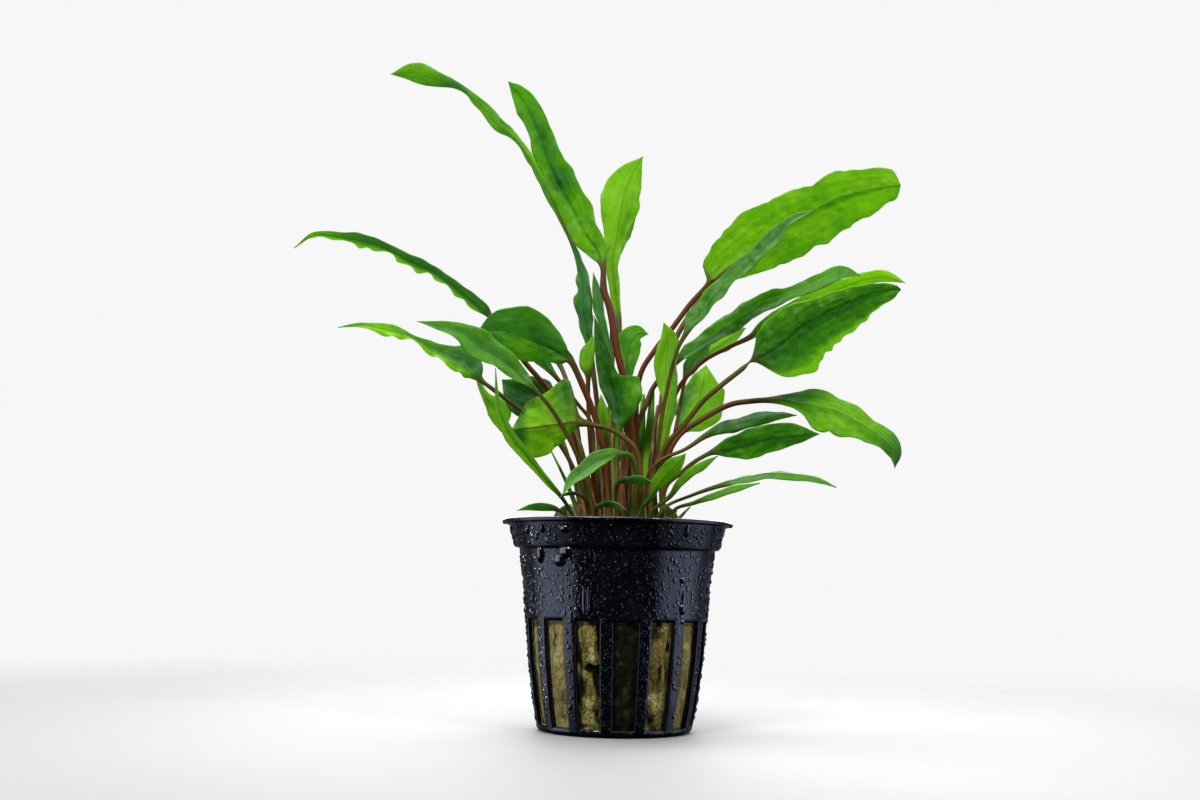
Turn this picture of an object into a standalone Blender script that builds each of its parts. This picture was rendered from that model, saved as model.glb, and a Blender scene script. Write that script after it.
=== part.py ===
# Potted cryptocoryne: a rosette of leaves growing from rock wool in a slotted black plastic net pot.
# Units are metres, +Z is up, and the origin is the centre of the pot's flat underside.
# The front of the plant faces -Y.
import bpy
import bmesh
import numpy as np
from math import cos, pi, radians, sin, tan
from mathutils import Vector

MM = 0.001

# The pot, a 5 cm net pot: heights and radii in millimetres.
POT_HEIGHT = 48.0
RIM_RADIUS = 27.0
RIM_THICKNESS = 0.9
COLLAR_TOP_RADIUS = 25.3
COLLAR_FOOT_RADIUS = 23.9
COLLAR_FOOT_LEVEL = 41.5
BODY_TOP_RADIUS = 22.9
BODY_MIDDLE_RADIUS = 21.8
BODY_MIDDLE_LEVEL = 34.0
SLOT_TOP_RADIUS = 21.1
RIB_MIDDLE_RADIUS = 20.4
RIB_MIDDLE_LEVEL = 16.4
RIB_FOOT_RADIUS = 19.1
RIB_FOOT_LEVEL = 6.8
BASE_RADIUS = 18.0
BASE_CORNER = 1.2
WALL = 1.0
FLOOR = 1.2
POT_SEGMENTS = 45

# The slots between the pot's upright ribs.
SLOT_COUNT = 15
SLOT_TOP = 25.2
SLOT_BOTTOM = 1.6
SLOT_ANGLE = 15.8
FIRST_RIB_ANGLE = -6.5
CUTTER_INNER_RADIUS = 14.0
CUTTER_OUTER_RADIUS = 32.0

# The rock wool fills the pot to just under its collar, and the crown sits in it.
GAP = 0.35
WOOL_TOP = 42.0
WOOL_SEGMENTS = 30
CROWN_RADIUS = 11.8
CROWN_HEIGHT = 2.3
FOOT_LEVEL = 45.1

# Leaf points are written as a picture of the plant shows them, in millimetres: x to the right and
# z up from the middle of the pot's foot, and y the real depth behind the pot's axis. The picture
# is taken from EYE, looking up by EYE_RISE and tilted by EYE_TILT, it lies FOCUS away from the
# eye, and the eye looks straight at the point AIM of it.
EYE = (-4.7, -330.0, 34.3)
EYE_RISE = radians(7.33)
EYE_TILT = radians(1.1)
FOCUS = 329.1
AIM = (-3.3, 77.6)

# How each leaf is built: rings along its stalk and its blade, and the blade's thickness.
STALK_RINGS = 4
BLADE_RINGS = 7
BLADE_HALF_THICKNESS = 0.36
TIP_HALF_WIDTH = 0.16

# Each leaf has its foot on the crown, the points of its stalk, and stations along the blade's
# midrib that end in the half widths to the left and the right of it, as seen going to the tip.
# turn swings the blade's left edge away from the eye, fold brings both its edges nearer, and
# tone is 0 for the darkest leaf and 1 for the brightest.
LEAVES = [
    dict(name="leaf_left_top", thick=0.6, foot=(-1.5, 7.5), turn=30, fold=0, tone=0.6,
         stalk=[(-2.8, 11, 66), (-5.2, 13, 87), (-7.3, 15, 101)],
         blade=[(-9.2, 17, 112.8, 0.6, 0.6), (-15.7, 19, 127.4, 1.3, 1.3), (-22.3, 21, 138.2, 0.8, 0.8),
                (-27, 22, 142.2, 1.5, 1.5), (-31.5, 23, 147.3, 1.1, 1.1), (-36.4, 24, 151.3, 0.8, 0.8),
                (-42.5, 25, 153.3, 2, 2), (-47.2, 25, 154.7, 2.2, 2.3), (-52.6, 25, 154.2, 0, 0)]),
    dict(name="leaf_tall", thick=0.85, foot=(4.2, -0.5), turn=18, fold=8, tone=0.65,
         stalk=[(4.7, 0, 58.8), (4.2, 0.5, 70.5), (2.8, 0.8, 80.4), (0.7, 1, 89.3), (-0.9, 1.5, 98.7),
                (-2.4, 2, 103.5)],
         blade=[(-2.6, 2.5, 109, 0.8, 0.8), (-4, 3, 112.8, 2.6, 2.6), (-6.8, 3, 117, 3.4, 3.4),
                (-9.6, 3, 122.2, 3.4, 4.4), (-12.7, 2, 127.8, 2.6, 4.2), (-15.3, 1, 134, 3, 3.5),
                (-17.4, 0, 139.8, 2.5, 3.1), (-20, -1, 145.7, 2.6, 2.8), (-22.6, -2, 149.7, 1.7, 2.1),
                (-24.9, -3, 152.5, 0, 0)]),
    dict(name="leaf_back_upright", thick=0.6, foot=(3.6, 6.2), turn=-20, fold=6, tone=1.0,
         stalk=[(3.2, 8, 62), (2.4, 11, 82), (1.4, 13, 92)],
         blade=[(0.9, 15, 96.8, 0.9, 0.9), (0.2, 17, 103.4, 1.2, 1.2), (-0.5, 19, 110, 1.7, 1.7),
                (0.5, 21, 116.3, 2.9, 2.5), (1.2, 22, 122.2, 4.5, 4.3), (2.4, 23, 126.9, 4.6, 4),
                (4.2, 24, 130.9, 3, 2.6), (6.8, 24, 134.9, 0, 0)]),
    dict(name="leaf_back_slim_1", thick=0.55, foot=(-2.4, 4), turn=35, fold=0, tone=0.2,
         stalk=[(-2.6, 5, 62), (-4, 6.5, 77.6), (-5.2, 7.5, 85)],
         blade=[(-5.6, 8, 88.8, 0.7, 0.7), (-6.3, 9, 94, 1.4, 1.3), (-7, 10, 99.9, 2.2, 2.1),
                (-7.3, 11.5, 105.8, 1.4, 1.5), (-8.2, 13, 110.5, 0.9, 0.8), (-9.9, 14, 115.9, 0, 0)]),
    dict(name="leaf_back_slim_2", thick=0.5, foot=(0.7, 3), turn=-25, fold=0, tone=0.35,
         stalk=[(0.9, 3.8, 62), (0.2, 4.6, 77.6)],
         blade=[(-0.7, 5, 86.5, 0.6, 0.6), (-1.9, 5.5, 92.8, 1, 0.8), (-3.5, 6.5, 98.7, 1.3, 1.2),
                (-4.2, 7.5, 103.4, 1, 1.1), (-4.9, 8, 107.6, 0, 0)]),
    dict(name="leaf_right_top", thick=0.75, foot=(6.8, 3.2), turn=-22, fold=-8, tone=0.95,
         stalk=[(6.2, 4, 60), (5.2, 4.6, 73), (6.1, 5.2, 83.2), (9.6, 5.8, 89.3), (13.2, 6.3, 93.8),
                (17.9, 6.8, 100.1)],
         blade=[(22.3, 7, 105, 0.8, 0.8), (23.5, 7, 106, 4, 1.4), (29.6, 6.5, 110.9, 7.6, 5.2),
                (35.5, 5.5, 115.2, 8.1, 7), (41.8, 4.5, 119.4, 6.8, 7.7), (48.2, 3, 122.9, 5.9, 7.5),
                (53.3, 1.5, 125.3, 6, 7), (59.7, 0, 126.9, 5.3, 5.5), (63.9, -1, 127.8, 4.3, 4),
                (67.2, -1.5, 128.1, 0, 0)]),
    dict(name="leaf_right_dark_upper", thick=0.45, foot=(9.6, -1.5), turn=40, fold=0, tone=0.1,
         stalk=[(9.6, -3, 58), (11, -4.5, 72), (13.4, -5.5, 84), (15, -6, 89.6)],
         blade=[(16.9, -6.2, 93.3, 0.7, 0.7), (18.3, -6.4, 96.4, 1.6, 1.6), (20.9, -6.8, 99.4, 1.9, 1.9),
                (25.4, -7.2, 104.6, 1.9, 1.9), (31.5, -7.8, 110.2, 1.8, 1.7), (37.1, -8.2, 115.4, 1.8, 1.7),
                (41.4, -8.6, 119.9, 1, 1), (47.2, -9, 122.2, 0, 0)]),
    dict(name="leaf_right_dark_long", thick=0.6, foot=(5.9, 0.8), turn=28, fold=0, tone=0.15,
         stalk=[(5.6, 1.5, 60), (5.4, 2, 70.5), (7.5, 2.6, 76.4), (9.6, 3, 81.1)],
         blade=[(14.8, 3, 86.7, 0.7, 0.7), (17.9, 3, 89.1, 1.7, 1.1), (23, 2.5, 92.4, 2.2, 1.5),
                (28.4, 2, 95.9, 2.7, 1.8), (34.3, 1, 99.9, 2.4, 2), (40.9, 0, 102.5, 1.7, 1.7),
                (48.4, -1, 105.5, 1.7, 1.7), (53.3, -1.5, 107.6, 1.7, 1.7), (58, -2, 106.9, 0, 0)]),
    dict(name="leaf_right_short", thick=0.45, foot=(8.8, 7), turn=-20, fold=0, tone=1.0,
         stalk=[(9.5, 11, 62), (13, 14, 76)],
         blade=[(19.2, 18, 86, 0.6, 0.6), (23, 21, 89.3, 2.8, 1.7), (26.1, 24, 91.4, 3.6, 2.1),
                (28.7, 28, 93.4, 2.2, 1.5), (31, 32, 94.5, 0, 0)]),
    dict(name="leaf_right_grey", thick=0.4, foot=(10.2, 4.4), turn=-15, fold=6, tone=0.35,
         stalk=[(12.4, 5, 61), (14.4, 6, 70.5), (16, 7, 79)],
         blade=[(16.7, 8, 82.7, 0.6, 0.6), (17.9, 9, 85.1, 1.8, 1.6), (19.5, 10.5, 87.7, 2, 2),
                (21.4, 12, 89.8, 1.3, 1.3), (22.8, 14, 91.2, 0, 0)]),
    dict(name="leaf_right_large", thick=0.6, foot=(7.9, -4.2), turn=-25, fold=12, tone=0.3,
         stalk=[(8.6, -5.5, 58), (12, -7, 66.5), (16.7, -9, 72.1), (20.7, -11, 77.1), (24.9, -12.5, 80.8),
                (30, -13.6, 84.8)],
         blade=[(32.7, -14, 87, 0.7, 0.7), (36.2, -14.4, 89.3, 4.8, 7), (39.7, -14.8, 92.1, 5.8, 9.6),
                (43.9, -15.4, 95.6, 5.4, 10), (50.1, -16, 98.9, 3.4, 8.2), (55, -16.6, 100.8, 2.8, 6.6),
                (59.2, -17.2, 102.5, 2.1, 5), (63.5, -18, 103.4, 1.7, 3.2), (66.2, -18.4, 103.7, 1, 1.8),
                (67.5, -18.5, 103.5, 0, 0)]),
    dict(name="leaf_right_light", thick=0.5, foot=(11, 1), turn=-20, fold=0, tone=0.8,
         stalk=[(11.6, 2.5, 60), (13, 4, 73), (15.3, 5, 80.6), (20.7, 5.6, 86.5), (27, 6, 90)],
         blade=[(32, 6.4, 92.4, 0.7, 0.7), (35.5, 6.8, 95.2, 1.5, 1.5), (42.5, 7.2, 99.2, 1.9, 1.9),
                (50.8, 7.6, 102.9, 1.9, 1.9), (58.3, 8, 105.8, 1.6, 1.5), (63.7, 8, 106.5, 1.5, 1.3),
                (68.6, 8, 105.1, 0, 0)]),
    dict(name="leaf_centre_right", thick=0.6, foot=(8.2, -1), turn=15, fold=8, tone=0.7,
         stalk=[(8.6, -1.2, 56)],
         blade=[(8.9, -1.2, 62.6, 0.7, 0.7), (10.4, -1.1, 66.9, 1.2, 1.2), (12, -0.9, 72.4, 1.9, 1.9),
                (13, -0.7, 76.6, 1.7, 1.7), (12.6, -0.5, 80.4, 2.1, 2.2), (12.1, 0, 86, 2.6, 2.5),
                (12.8, 0.4, 91.6, 2.1, 2.2), (11.7, 0.8, 95.9, 0, 0)]),
    dict(name="leaf_right_broad_back", thick=0.5, foot=(7.2, 9.2), turn=-15, fold=0, tone=0.9,
         stalk=[(10, 13, 60)],
         blade=[(15, 16, 69.4, 0.7, 0.7), (17.2, 18, 73.2, 2.8, 5.2), (19.6, 21, 77.4, 4.4, 6.8),
                (20.8, 24, 82, 3, 4.2), (21.6, 27, 85.8, 0, 0)]),
    dict(name="leaf_right_arching", thick=0.65, foot=(10.6, -3.4), turn=20, fold=-10, tone=0.8,
         stalk=[(11.4, -3.8, 60), (14.8, -4, 68.6), (20.7, -4.2, 73.1), (27, -4.4, 76.4), (32, -4.8, 77.3)],
         blade=[(36.7, -5, 77.6, 0.8, 0.8), (42.3, -5.5, 76.8, 2.8, 1.2), (47.5, -6, 75.9, 3.9, 4.4),
                (52.6, -7, 74.7, 3.1, 5.2), (57.8, -8, 71.9, 2.9, 3.8), (62.5, -9, 68.6, 2.7, 2),
                (65.6, -10, 65.3, 2.2, 1.2), (66, -11, 61.6, 0, 0)]),
    dict(name="leaf_right_low", thick=0.5, foot=(9.9, -6), turn=-20, fold=6, tone=0.35,
         stalk=[(12, -7.6, 56.5), (15.5, -9.4, 60.2), (18.8, -11, 63)],
         blade=[(23, -12.4, 65.3, 0.7, 0.7), (26.8, -13.4, 66, 2.6, 2), (32, -14.6, 67.4, 3.3, 3.5),
                (37.8, -16, 68.9, 3.6, 3.3), (43, -17.4, 69.3, 2.4, 2.2), (48.4, -19, 69.6, 0, 0)]),
    dict(name="leaf_right_low_dark", thick=0.45, foot=(7.8, -6.6), turn=30, fold=0, tone=0.1,
         stalk=[(7.6, -8.4, 57.5), (10.3, -9.4, 63), (16.7, -9.4, 66)],
         blade=[(21.4, -9, 69.1, 0.7, 0.7), (25.4, -9, 71, 1.3, 1.3), (29.6, -9.2, 72.1, 1.7, 1.7),
                (34.8, -9.6, 73.3, 1.5, 1.4), (39.5, -10, 74, 0.9, 0.9), (43, -10.5, 74, 0, 0)]),
    dict(name="leaf_right_low_slim_1", thick=0.4, foot=(8.2, -8.4), turn=64, fold=0, tone=0.6,
         stalk=[(11.5, -11, 52), (18.3, -14, 55.2)],
         blade=[(25.4, -16, 57.6, 0.6, 0.6), (32, -18, 59.2, 0.8, 0.8), (37.1, -19, 59.9, 0.9, 0.9),
                (42.5, -20, 59.7, 0.9, 0.8), (47.9, -21, 58.8, 0.7, 0.7), (52.2, -22, 57.1, 0, 0)]),
    dict(name="leaf_right_low_slim_2", thick=0.4, foot=(11.4, -5.6), turn=45, fold=0, tone=1.0,
         stalk=[(14, -7, 51.6)],
         blade=[(18.8, -9, 53.4, 0.5, 0.5), (24, -10, 55.2, 0.8, 0.8), (29, -11, 56.8, 0.8, 0.7),
                (34.3, -12, 58, 0, 0)]),
    dict(name="leaf_crown_right_slim", thick=0.4, foot=(5.8, -9.6), turn=30, fold=0, tone=1.0,
         stalk=[(9, -12.4, 51.4)],
         blade=[(13.2, -15.5, 55, 0.6, 0.6), (15.5, -17, 58.3, 1, 1), (18.6, -18.6, 60.9, 1.1, 1.1),
                (21.6, -20, 62.7, 0.9, 0.8), (24.4, -21, 64.4, 0, 0)]),
    dict(name="leaf_crown_right", thick=0.6, foot=(3.4, -10), turn=-20, fold=6, tone=0.95,
         stalk=[(6, -10.6, 51.6)],
         blade=[(8.7, -12.6, 54.8, 0.7, 0.7), (10.1, -13.8, 57.6, 1.6, 1.2), (12.5, -15.2, 60.4, 2.2, 2),
                (14.8, -16.6, 62.7, 1.7, 1.7), (16.9, -18, 65.1, 0, 0)]),
    dict(name="leaf_centre_folded", thick=0.7, foot=(0.6, -3.6), turn=12, fold=8, tone=0.05,
         stalk=[(0.6, -4, 56), (0.5, -4.4, 64)],
         blade=[(1, -4.8, 70.8, 1, 1), (0.9, -5, 73.2, 1.6, 3.4), (0.4, -5, 76.2, 1.9, 6),
                (-0.3, -4.9, 79.2, 2.3, 7.2), (-0.9, -4.8, 81.2, 2.5, 6.8), (-1.4, -4.8, 83, 2.4, 2.6),
                (-2.3, -4.6, 87, 2.1, 2), (-3.3, -4.4, 91.4, 1.4, 1.4), (-4.7, -4.2, 97.6, 0, 0)]),
    dict(name="leaf_centre_pointed", thick=0.5, foot=(5.4, 4.6), turn=-10, fold=0, tone=0.5,
         stalk=[(5, 5.6, 60), (3.8, 6.4, 72)],
         blade=[(2.8, 7, 80.4, 0.6, 0.6), (3, 7.4, 83.8, 1.4, 1.4), (3.2, 8, 87.4, 2.6, 2.3),
                (3.7, 8.6, 90.6, 3.4, 2.9), (5.4, 9.2, 93, 2.6, 1.7), (8.1, 9.6, 93.1, 0, 0)]),
    dict(name="leaf_centre_back", thick=0.5, foot=(-1.8, 1.2), turn=0, fold=8, tone=0.9,
         stalk=[(-1.8, 1.4, 58)],
         blade=[(-1.9, 1.6, 68.2, 0.7, 0.7), (-2.1, 1.8, 72, 1.3, 1.3), (-2.6, 2, 75.5, 1.3, 1.1),
                (-3.1, 2.2, 79, 0, 0)]),
    dict(name="leaf_centre_small", thick=0.5, foot=(-4.6, -0.4), turn=20, fold=8, tone=0.9,
         stalk=[(-5, -0.8, 60), (-5.9, -1.2, 72), (-6.1, -1.4, 80)],
         blade=[(-6.1, -1.5, 83.2, 0.7, 0.7), (-6.3, -1.6, 85.5, 1.7, 1.3), (-6.1, -1.6, 88.4, 1.9, 1.5),
                (-5.4, -1.6, 90.5, 1.2, 1), (-4.9, -1.6, 92.8, 0, 0)]),
    dict(name="leaf_left_broad", thick=0.75, foot=(-1.8, -2), turn=18, fold=10, tone=0.25,
         stalk=[(-1.6, -3.4, 58.8), (-2.6, -5, 66.5), (-4.6, -6, 74), (-7.4, -7, 81)],
         blade=[(-10.1, -7.6, 86.7, 0.9, 0.9), (-12.2, -8, 88.1, 2.4, 2.4), (-15, -8.4, 90, 3.8, 3.9),
                (-19.7, -9, 92.1, 5.8, 6.5), (-24.4, -9.6, 93.8, 5, 6), (-28.2, -10.2, 94.2, 3, 4),
                (-32.2, -11, 93.5, 0, 0)]),
    dict(name="leaf_left_pale", thick=0.6, foot=(-4.8, -5), turn=-15, fold=0, tone=0.75,
         stalk=[(-6.2, -9.5, 57.5), (-9, -13.5, 65.2), (-12.4, -17, 71.8), (-15.4, -19.2, 76.4)],
         blade=[(-19, -20.6, 80.4, 0.8, 0.8), (-22.3, -21, 83.9, 2, 1.9), (-26.3, -21.4, 87.4, 2.6, 2.5),
                (-31.5, -21.8, 90.6, 3.3, 3.2), (-35.5, -22.1, 93.5, 2.4, 2.3),
                (-39.7, -22.4, 94.9, 1.4, 1.3), (-46.3, -23, 96.1, 0, 0)]),
    dict(name="leaf_left_long_upper", thick=0.6, foot=(-5.4, 2.6), turn=50, fold=0, tone=0.55,
         stalk=[(-7.4, 2, 60), (-11, 1, 72), (-15.3, 0, 79.7), (-21.4, -1, 87), (-25.6, -1.4, 93)],
         blade=[(-29.1, -1.4, 97.3, 0.7, 0.7), (-32, -1, 100.1, 1.5, 1.5), (-40.9, 0, 106.9, 1.2, 1.2),
                (-46.8, 1, 110, 1.6, 1.5), (-52.6, 2, 113, 1.1, 1.1), (-58.5, 3, 114.9, 1.6, 1.5),
                (-64.4, 4, 116.1, 1, 0.9), (-70.6, 5, 116.4, 0.6, 0.6), (-75.2, 6, 113.3, 0, 0)]),
    dict(name="leaf_left_long_lower", thick=0.55, foot=(-7, -2.2), turn=-20, fold=6, tone=0.6,
         stalk=[(-9, -3, 60), (-14.4, -4.4, 69.4), (-21.2, -5.4, 74.7), (-27.5, -6.4, 79.4)],
         blade=[(-31.3, -7, 82.3, 0.7, 0.7), (-32.9, -7.4, 84.6, 2.6, 2.6), (-35.3, -8, 87, 3.3, 3.4),
                (-38.5, -8.6, 87.9, 2.2, 2.1), (-43.2, -9.4, 89.8, 1.3, 1.2), (-47.9, -10.4, 92.6, 1.1, 1.1),
                (-52.6, -11.6, 93.8, 1.3, 1.4), (-58.6, -13, 95, 0.6, 0.6), (-64.9, -14.4, 94.7, 0, 0)]),
    dict(name="leaf_left_shaded", thick=0.55, foot=(-4.4, -2.6), turn=-8, fold=0, tone=0.05,
         stalk=[(-6.2, -2.8, 60), (-8.7, 1.2, 69)],
         blade=[(-13, 2.6, 76.4, 0.8, 0.8), (-16.2, 2.9, 78.2, 4.8, 4.2), (-19.6, 3.1, 79.2, 6.6, 4.2),
                (-22.6, 3.3, 80.2, 5.2, 3), (-26.4, 3.5, 82.4, 0, 0)]),
    dict(name="leaf_front_heart", thick=0.6, foot=(4.8, -7), turn=4, fold=-10, tone=1.0,
         stalk=[(6.2, -11.4, 58), (5.2, -12.6, 65.8), (0, -12.8, 70.3), (-4.6, -12.6, 71.7)],
         blade=[(-8.4, -12.8, 72, 0.8, 2.4), (-9.9, -13, 72, 2, 9.6), (-12.2, -13.4, 71.8, 4, 9.2),
                (-15.3, -14.2, 71.5, 6, 7.6), (-18.3, -15.2, 71.1, 7.2, 6.7),
                (-21.2, -16.2, 70.9, 5.4, 4.6), (-24, -17.2, 70.7, 0, 0)]),
    dict(name="leaf_left_hanging", thick=0.4, foot=(-7.6, 1.4), turn=10, fold=6, tone=0.75,
         stalk=[(-12, 5.4, 68), (-22, 7.6, 84), (-28, 7.4, 88)],
         blade=[(-32.3, 6.4, 86.4, 0.5, 0.5), (-31.8, 5.4, 82, 0.6, 0.6), (-30.2, 4.6, 78.2, 1.3, 0.9),
                (-27.8, 3.8, 75.4, 3.3, 2.1), (-26.9, 3.2, 72.8, 2.5, 1.8), (-26.6, 2.8, 70.1, 0, 0)]),
    dict(name="leaf_front_left_slim", thick=0.45, foot=(-8.8, -4.6), turn=25, fold=6, tone=0.85,
         stalk=[(-10.6, -9, 52)],
         blade=[(-12.7, -13, 55.2, 0.5, 0.5), (-15.4, -17, 58.1, 0.8, 0.8),
                (-19.9, -21.5, 63.6, 1.1, 1.1), (-23.9, -25.5, 68.4, 1.5, 1.5), (-26.3, -29, 73.2, 1, 1),
                (-27.5, -31.5, 78, 0.5, 0.6), (-27.9, -34, 85.1, 0, 0)]),
    dict(name="leaf_front_lance", thick=0.5, foot=(2.2, -10), turn=-25, fold=6, tone=0.8,
         stalk=[(5.2, -14, 57), (4.6, -17.4, 63), (3.4, -19, 64.8)],
         blade=[(1.6, -20.4, 65, 0.7, 0.7), (-0.5, -21.6, 64.9, 1.1, 1.5), (-3.8, -24, 63.5, 1.9, 2.1),
                (-7.3, -27, 61.1, 1.9, 1.9), (-9.9, -29.6, 58.8, 1.2, 1.4), (-12.2, -32, 55.2, 0, 0)]),
    dict(name="leaf_front_short_1", thick=0.45, foot=(0.2, -7.6), turn=-45, fold=0, tone=0.1,
         stalk=[(0.4, -11, 55)],
         blade=[(1.2, -14, 58.3, 0.6, 0.6), (4, -18, 58.8, 1, 1), (6.6, -22, 58.6, 1, 1),
                (9.2, -26, 58.3, 0, 0)]),
    dict(name="leaf_front_short_2", thick=0.4, foot=(-4.2, -9.4), turn=-30, fold=0, tone=0.05,
         stalk=[(-4.4, -11.6, 51)],
         blade=[(-3.8, -13.6, 52.6, 0.5, 0.5), (-1.4, -17, 53.1, 0.7, 0.7), (0.8, -20.6, 52.8, 0.6, 0.6),
                (2.8, -24, 51.8, 0, 0)]),
    dict(name="leaf_front_thin", thick=0.35, foot=(-6.6, -7.2), turn=30, fold=0, tone=0.05,
         stalk=[(-6.2, -10, 52.4), (-7, -12.6, 54.4)],
         blade=[(-8.4, -15, 55.4, 0.4, 0.4), (-9.8, -17, 55.7, 0.5, 0.5), (-11.4, -19, 55.4, 0.4, 0.4),
                (-13, -21, 54.6, 0, 0)]),
    dict(name="leaf_rim_left", thick=0.4, foot=(-9.8, -1.6), turn=-20, fold=0, tone=0.6,
         stalk=[(-11.6, -4.2, 50.4)],
         blade=[(-13.2, -6, 51.8, 0.5, 0.5), (-15.4, -8, 52.4, 0.9, 0.9), (-18.2, -10.4, 52.5, 0.9, 0.9),
                (-20.6, -12.4, 52.2, 0.6, 0.6), (-22.8, -14, 51.6, 0, 0)]),
    dict(name="leaf_left_hidden", thick=0.45, foot=(-3.6, 6.8), turn=20, fold=0, tone=0.3,
         stalk=[(-4.4, 6.6, 60), (-5.2, 6, 71.5), (-8.8, 5, 77)],
         blade=[(-13.8, 4.4, 83.2, 0.6, 0.6), (-17.2, 5, 87.4, 1.8, 1.8), (-20.4, 6.4, 91.4, 2.4, 2.4),
                (-23.4, 8, 94.8, 2, 2), (-26.4, 10, 97, 0, 0)]),
    dict(name="leaf_back_1", thick=0.6, foot=(1, 9.8), turn=0, fold=-8, tone=0.4,
         stalk=[(1.4, 15, 62), (1.6, 24, 72)],
         blade=[(1.4, 32, 75.5, 0.8, 0.8), (1, 38, 75, 3, 3), (0.4, 44, 71, 4, 4), (-0.4, 50, 64, 3, 3),
                (-1, 54, 56, 0, 0)]),
    dict(name="leaf_back_2", thick=0.55, foot=(-5.8, 8.4), turn=10, fold=-6, tone=0.5,
         stalk=[(-7.6, 14, 61), (-9.6, 22, 70)],
         blade=[(-12, 29, 74, 0.8, 0.8), (-13.6, 35, 75, 2.6, 2.6), (-15.4, 42, 73.6, 3.2, 3.2),
                (-17, 48, 70.6, 2.2, 2.2), (-18.4, 53, 66.5, 0, 0)]),
    dict(name="leaf_back_3", thick=0.55, foot=(4.6, 10.4), turn=-10, fold=-6, tone=0.6,
         stalk=[(8, 16, 61), (12, 25, 71)],
         blade=[(15, 32, 75.5, 0.8, 0.8), (17, 38, 77, 2.6, 2.6), (19, 45, 77, 3.4, 3.4),
                (21, 51, 75, 2.4, 2.4), (23, 56, 71.5, 0, 0)]),
    dict(name="leaf_back_4", thick=0.65, foot=(7.8, 11.4), turn=-15, fold=0, tone=0.7,
         stalk=[(10.6, 17, 72), (13, 22, 88), (18, 26, 98)],
         blade=[(24.5, 30, 106, 0.8, 0.8), (31, 34, 110.5, 3, 3), (38, 39, 114, 4.2, 4),
                (45, 43, 116.5, 3.4, 3.2), (54, 47, 118, 0, 0)]),
    dict(name="leaf_back_5", thick=0.55, foot=(-8.4, 3.4), turn=15, fold=0, tone=0.45,
         stalk=[(-8, 11, 66), (-10.6, 17, 80)],
         blade=[(-13.4, 22, 87, 0.8, 0.8), (-17.4, 27, 91, 2.6, 2.6), (-22, 33, 93.6, 3.4, 3.4),
                (-26, 38, 94.6, 2.2, 2.2), (-29.6, 42, 94.4, 0, 0)]),
    dict(name="leaf_back_6", thick=0.6, foot=(-2.2, 10.8), turn=0, fold=6, tone=0.55,
         stalk=[(-0.6, 17, 76), (-0.4, 24, 94), (-0.2, 29, 104)],
         blade=[(0, 32, 110, 0.8, 0.8), (0.8, 35, 115, 2.2, 2.2), (2, 38, 120, 3, 3),
                (3, 41, 125, 2.2, 2.2), (3.6, 44, 130, 0, 0)]),
    dict(name="leaf_back_7", thick=0.5, foot=(10.6, 8.8), turn=-10, fold=0, tone=0.5,
         stalk=[(11.6, 20, 51.8)],
         blade=[(12, 31, 52.4, 0.8, 0.8), (12.6, 38, 49.6, 2.6, 2.6), (13.4, 45, 43.6, 3.4, 3.4),
                (14.2, 50, 35.4, 2.4, 2.4), (15, 53, 26, 0, 0)]),
    dict(name="leaf_back_8", thick=0.5, foot=(-8.8, 6.4), turn=10, fold=0, tone=0.55,
         stalk=[(-9.4, 18, 51.8)],
         blade=[(-10.6, 28, 52.4, 0.8, 0.8), (-12, 35, 49.6, 2.4, 2.4), (-13.4, 42, 43.2, 3, 3),
                (-14.4, 47, 34.8, 2.2, 2.2), (-15, 50, 25.5, 0, 0)]),
    dict(name="leaf_back_9", thick=0.5, foot=(-5, 11), turn=0, fold=0, tone=0.45,
         stalk=[(-4, 22, 52.4)],
         blade=[(-3.4, 33, 53, 0.8, 0.8), (-3, 41, 50.4, 2.4, 2.4), (-2.8, 48, 44.4, 3, 3),
                (-2.8, 54, 37.4, 2, 2), (-2.8, 58, 29.6, 0, 0)]),
]

# Colours, as linear red, green and blue.
POT_COLOUR = (0.012, 0.013, 0.018)
WOOL_COLOUR = (0.26, 0.22, 0.07)
CROWN_COLOUR = (0.1, 0.045, 0.012)
DARK_LEAF = (0.012, 0.11, 0.008)
BRIGHT_LEAF = (0.15, 0.42, 0.01)


def clear_scene():
    for item in list(bpy.data.objects):
        bpy.data.objects.remove(item)


def material(name, colour, roughness):
    paint = bpy.data.materials.new(name)
    paint.use_nodes = True
    shader = paint.node_tree.nodes["Principled BSDF"]
    shader.inputs["Base Color"].default_value = (*colour, 1.0)
    shader.inputs["Roughness"].default_value = roughness
    shader.inputs["Metallic"].default_value = 0.0
    return paint


def add_object(name, mesh, paint):
    item = bpy.data.objects.new(name, mesh)
    bpy.context.collection.objects.link(item)
    if paint is not None:
        mesh.materials.append(paint)
    return item


def mesh_from(name, bm):
    bmesh.ops.recalc_face_normals(bm, faces=bm.faces)
    mesh = bpy.data.meshes.new(name)
    bm.to_mesh(mesh)
    bm.free()
    mesh.shade_smooth()
    mesh.set_sharp_from_angle(angle=radians(40))
    return mesh


def turned(name, profile, segments, paint):
    """A solid of revolution about Z from a closed outline of (radius, height) in millimetres."""
    bm = bmesh.new()
    verts = [bm.verts.new((r * MM, 0.0, z * MM)) for r, z in profile]
    edges = [bm.edges.new((a, b)) for a, b in zip(verts, verts[1:])]
    on_axis = profile[0][0] == 0.0 and profile[-1][0] == 0.0
    if not on_axis:
        edges.append(bm.edges.new((verts[-1], verts[0])))
    bmesh.ops.spin(bm, geom=verts + edges, cent=(0, 0, 0), axis=(0, 0, 1), angle=2 * pi,
                   steps=segments, use_merge=True)
    bmesh.ops.remove_doubles(bm, verts=bm.verts, dist=1e-6)
    return add_object(name, mesh_from(name, bm), paint)


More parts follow.
